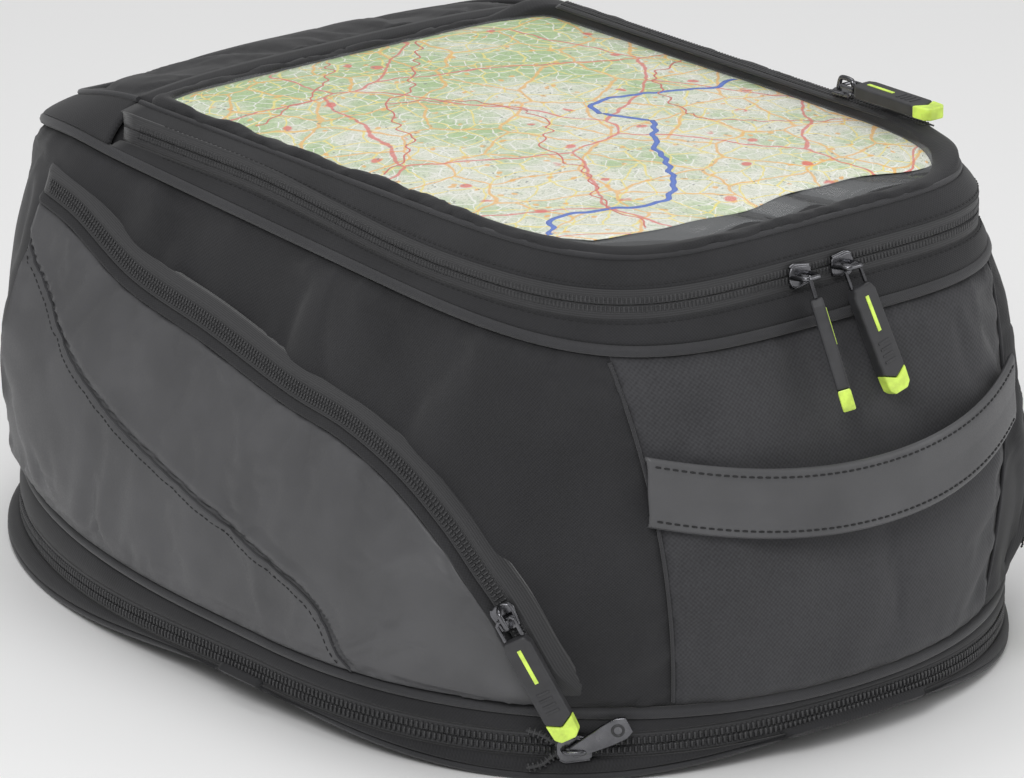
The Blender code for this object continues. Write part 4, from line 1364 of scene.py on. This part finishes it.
def plate(name, points, low, high, matrix, paint, bevel=0.3):
    """A plate from an outline in local X and Y, between two local heights, with rounded edges."""
    count = len(points)
    corners = [Vector((x, y, z)) * MM for z in (low, high) for x, y in points]
    faces = [tuple(reversed(range(count))), tuple(range(count, 2 * count))]
    faces += [(i, (i + 1) % count, count + (i + 1) % count, count + i) for i in range(count)]
    made = finish_mesh(name, corners, faces, paint, sharp=35.0)
    made.matrix_world = matrix
    rounding = made.modifiers.new("rounding", "BEVEL")
    rounding.width = bevel * MM
    rounding.segments = 3
    return made


def mirrored(points):
    """A closed outline from its right half."""
    left = [(-x, y) for x, y in reversed(points)]
    return left[-1:] + list(points) + left[:-1]


def local_line(matrix, route, count, outward):
    """A smooth route in a matrix's own millimetres, with one outward direction."""
    points = [matrix @ (Vector(p) * MM) for p in smooth_route(route, count)]
    return points, [matrix.to_3x3() @ Vector(outward)] * len(points)


SLIDER_TOP = mirrored(((2.4, -5.4), (3.3, -4.2), (3.7, -1.0), (4.2, 2.6), (3.6, 4.4), (1.6, 5.4)))
SLIDER_EDGE = ((3.2, -4.6), (3.7, -1.0), (4.2, 2.6), (3.4, 4.4))


def slider_plate(prefix, matrix, body):
    """The slider's upper plate with its two rolled edges."""
    top = plate(prefix + "_plate", SLIDER_TOP, 0.9, 2.3, matrix, METAL, 0.45)
    place(top, body, "dark_metal", body)
    for word, side in (("left", -1.0), ("right", 1.0)):
        line = local_line(matrix, [(side * x, y, 1.2) for x, y in SLIDER_EDGE], 12, UP)
        place(tube(f"{prefix}_edge_{word}", *line, 0.85, METAL), body, "dark_metal")


def slider_bridge(name, matrix, height, body):
    """The arch on the slider that holds the loop."""
    half = ((1.6, height), (3.4, height - 0.6), (4.4, 3.0), (4.6, 1.4))
    route = [(0.0, -y, z) for y, z in reversed(half)] + [(0.0, y, z) for y, z in half]
    place(tube(name, *local_line(matrix, route, 24, (1.0, 0.0, 0.0)), 1.0, METAL), body, "dark_metal")


def pull_details(prefix, pivot, body):
    """The bright line let into the pull's upper half, and the ribs of its grip."""
    outline = mirrored(((0.8, -27.0), (0.8, -12.5)))
    line = plate(prefix + "_inlay", outline, PULL_FACE, PULL_FACE + 0.45, pivot, BRIGHT, 0.15)
    place(line, body, "bright_tip")
    for i in range(4):
        y = -31.5 - 2.6 * i
        outline = mirrored(((2.8, y - 0.5), (2.8, y + 0.5)))
        rib = plate(f"{prefix}_rib_{i + 1}", outline, PULL_FACE, PULL_FACE + 0.5, pivot, RUBBER, 0.2)
        place(rib, body, "pull_rubber")


def zip_hardware():
    ahead = Vector((0.0, -1.0, 0.12))
    mains = (("main_left", -16.0, (0.05, -0.44, -1.0), 52.0), ("main_right", 5.0, (0.26, -0.28, -1.0), 0.0))
    for prefix, x, hang, turn in mains:
        outline = inset(ZIP_HIGH, -0.5)
        y = front_y(outline, x)
        spot = at(x, y, zip_height(x, y) + 0.1)
        way = Vector((1.0 if x < 0 else -1.0, 0.0, 0.0))
        add_hardware(prefix, spot, way, Vector(hang), ahead, turn, MAIN_LOOP_RISE)
    route = smooth_route(POCKET_ZIP, 22)
    for side, prefix in ((-1, "pocket_left"), (1, "pocket_right")):
        spot, next_spot = route[20], route[21]
        here = side_point(side, spot.x, spot.y, POCKET_SLIDER_RISE)
        way = (side_point(side, next_spot.x, next_spot.y, POCKET_SLIDER_RISE) - here).normalized()
        upward = side_point(side, spot.x, spot.y + 4.0, POCKET_SLIDER_RISE) - here
        outward = way.cross(upward)
        outward = outward if outward.x * side > 0 else -outward
        add_hardware(prefix, here, way, way, outward, 0.0, SMALL_LOOP_RISE)
    way = Vector((0.0, -1.0, 0.0))
    add_hardware("map", at(MAP_ZIP_X, -112.0, 209.2), way, way, Vector(UP), 0.0, SMALL_LOOP_RISE)


def add_hardware(prefix, spot, zip_way, pull_way, outward, turn, rise):
    matrix = frame_at(spot, zip_way, outward)
    slider_plate(prefix, matrix, prefix + "_slider")
    slider_bridge(prefix + "_bridge", matrix, rise + 2.1, prefix + "_slider")
    pivot = frame_at(spot + outward.normalized() * (rise * MM), pull_way, outward)
    if turn:
        pivot = pivot @ Matrix.Rotation(math.radians(turn), 4, "Y")
    pull_details(prefix, pivot, prefix + "_pull")


BASE_SLIDER_M = Vector((-0.11013, -0.17857, 0.01362))
BASE_TAB_M = Vector((-0.11323, -0.18211, 0.01362))
BASE_SLIDER_SCALE = 1.25
TAB_SHAPE = mirrored(((2.2, 1.2), (2.7, -1.5), (3.5, -7.0), (4.4, -14.0), (4.6, -20.0), (3.2, -23.4)))


def base_hardware():
    along, outward = Vector((0.753, -0.6581, 0.0)), Vector((-0.6581, -0.753, 0.0))
    matrix = frame_at(BASE_SLIDER_M, along, outward)
    slider_plate("base", matrix @ Matrix.Scale(BASE_SLIDER_SCALE, 4), "base_slider")
    slider_bridge("base_bridge", matrix, 6.2, "base_slider")
    tab = frame_at(BASE_TAB_M, Vector((0.6597, -0.5766, 0.4819)), outward)
    shape = plate("base_tab_plate", TAB_SHAPE, -0.8, 0.9, tab, METAL, 0.4)
    place(shape, "base_tab", "dark_metal", "base_tab")
    turns = [2.0 * math.pi * k / 28 for k in range(28)]
    ring = [tab @ (Vector((2.1 * math.cos(t), -18.6 + 2.1 * math.sin(t), 0.9)) * MM) for t in turns]
    place(tube("base_tab_eye", ring, [outward] * len(ring), 0.55, RUBBER, True, 8), "base_tab", "dark_metal")
    for word, lift in (("upper", 1.0), ("lower", -1.0)):
        loose_tail(word, lift, matrix)


def loose_tail(word, lift, matrix):
    """The free end of one row of coil, which curls away from the slider."""
    route = ((lift * 1.6, 4.0, 0.6), (lift * 3.2, 8.5, 1.8), (lift * 6.0, 12.5, 2.8), (lift * 7.6, 18.0, 2.2))
    points, outwards = local_line(matrix, route, 20, UP)
    up = outwards[0]
    place(tube(f"tail_{word}_cord", points, outwards, 0.8, TAPE, sides=8), "base", "zip_coil")
    places = [(p, up.cross(a).normalized(), up) for p, a, _ in evenly(points, outwards, 1.9)]
    place(stamp(f"tail_{word}_teeth", bead(3.6, 1.15, 1.9, 6), places, COIL), "base", "zip_coil")


def keep_cad_nodes():
    """The CAD nodes whose shape is already right, in their final materials."""
    pulls = ("main_left", "main_right", "pocket_left", "pocket_right", "map")
    repaint([p + "_pull" for p in pulls], RUBBER)
    repaint([p + "_pull_tip" for p in pulls], BRIGHT)
    repaint([p + "_pull_loop" for p in pulls], METAL)
    repaint([f"lock_screw_{i}" for i in range(1, 5)], METAL)
    repaint(["base_board", "lock_ring", "release_lever"], BOARD)


# The studio.

LENS = 273.5
CAMERA_AZIMUTH = -39.7
CAMERA_ELEVATION = 19.15
CAMERA_DISTANCE_M = 3.06
AIM_M = Vector((0.0, -0.0406, 0.0935))
FRAMING_RIGHT_M = -0.0201
FRAMING_UP_M = 0.001


# Each light: name, place, size in metres, power in watts.
LIGHTS = (
    ("key", (-1.3, -1.1, 1.5), (0.9, 0.8), 19.0),
    ("top", (0.2, 0.3, 1.9), (1.6, 1.6), 13.0),
    ("fill", (1.5, -1.5, 0.8), (1.0, 1.0), 7.0),
)
LIGHT_TARGET_M = Vector((0.0, 0.0, 0.1))
WORLD_STRENGTH = 0.40


def add_camera():
    azimuth, elevation = math.radians(CAMERA_AZIMUTH), math.radians(CAMERA_ELEVATION)
    right = Vector((math.cos(azimuth), math.sin(azimuth), 0.0))
    level = math.cos(elevation)
    back = Vector((math.sin(azimuth) * level, -math.cos(azimuth) * level, math.sin(elevation)))
    up = back.cross(right)
    data = bpy.data.cameras.new("camera")
    data.lens = LENS
    data.clip_end = 50.0
    camera = bpy.data.objects.new("camera", data)
    bpy.context.collection.objects.link(camera)
    matrix = Matrix((right, up, back)).transposed().to_4x4()
    matrix.translation = AIM_M + back * CAMERA_DISTANCE_M + right * FRAMING_RIGHT_M + up * FRAMING_UP_M
    camera.matrix_world = matrix
    bpy.context.scene.camera = camera


def add_light(name, where, size, power):
    data = bpy.data.lights.new(name, "AREA")
    data.shape = "RECTANGLE"
    data.size, data.size_y = size
    data.energy = power
    light = bpy.data.objects.new(name, data)
    bpy.context.collection.objects.link(light)
    light.location = where
    light.rotation_euler = (LIGHT_TARGET_M - Vector(where)).to_track_quat("-Z", "Y").to_euler()


def studio():
    half_m = 12.0
    corners = [(x * half_m, y * half_m, 0.0) for x, y in ((-1, -1), (1, -1), (1, 1), (-1, 1))]
    paint = Paint("floor_paint", (0.93, 0.93, 0.93), 0.9)
    floor = finish_mesh("floor", corners, [(0, 1, 2, 3)], paint.material)
    world = bpy.data.worlds.new("studio")
    world.use_nodes = True
    background = world.node_tree.nodes["Background"]
    background.inputs[0].default_value = (1.0, 1.0, 1.0, 1.0)
    background.inputs[1].default_value = WORLD_STRENGTH
    bpy.context.scene.world = world
    bpy.context.scene.view_settings.view_transform = "Standard"
    for light in LIGHTS:
        add_light(*light)
    add_camera()


def main():
    studio()
    base_pieces()
    walls()
    pocket(-1, "left")
    pocket(1, "right")
    handle_strap()
    collar_and_zip()
    lid()
    hood()
    zip_hardware()
    base_hardware()
    keep_cad_nodes()


main()
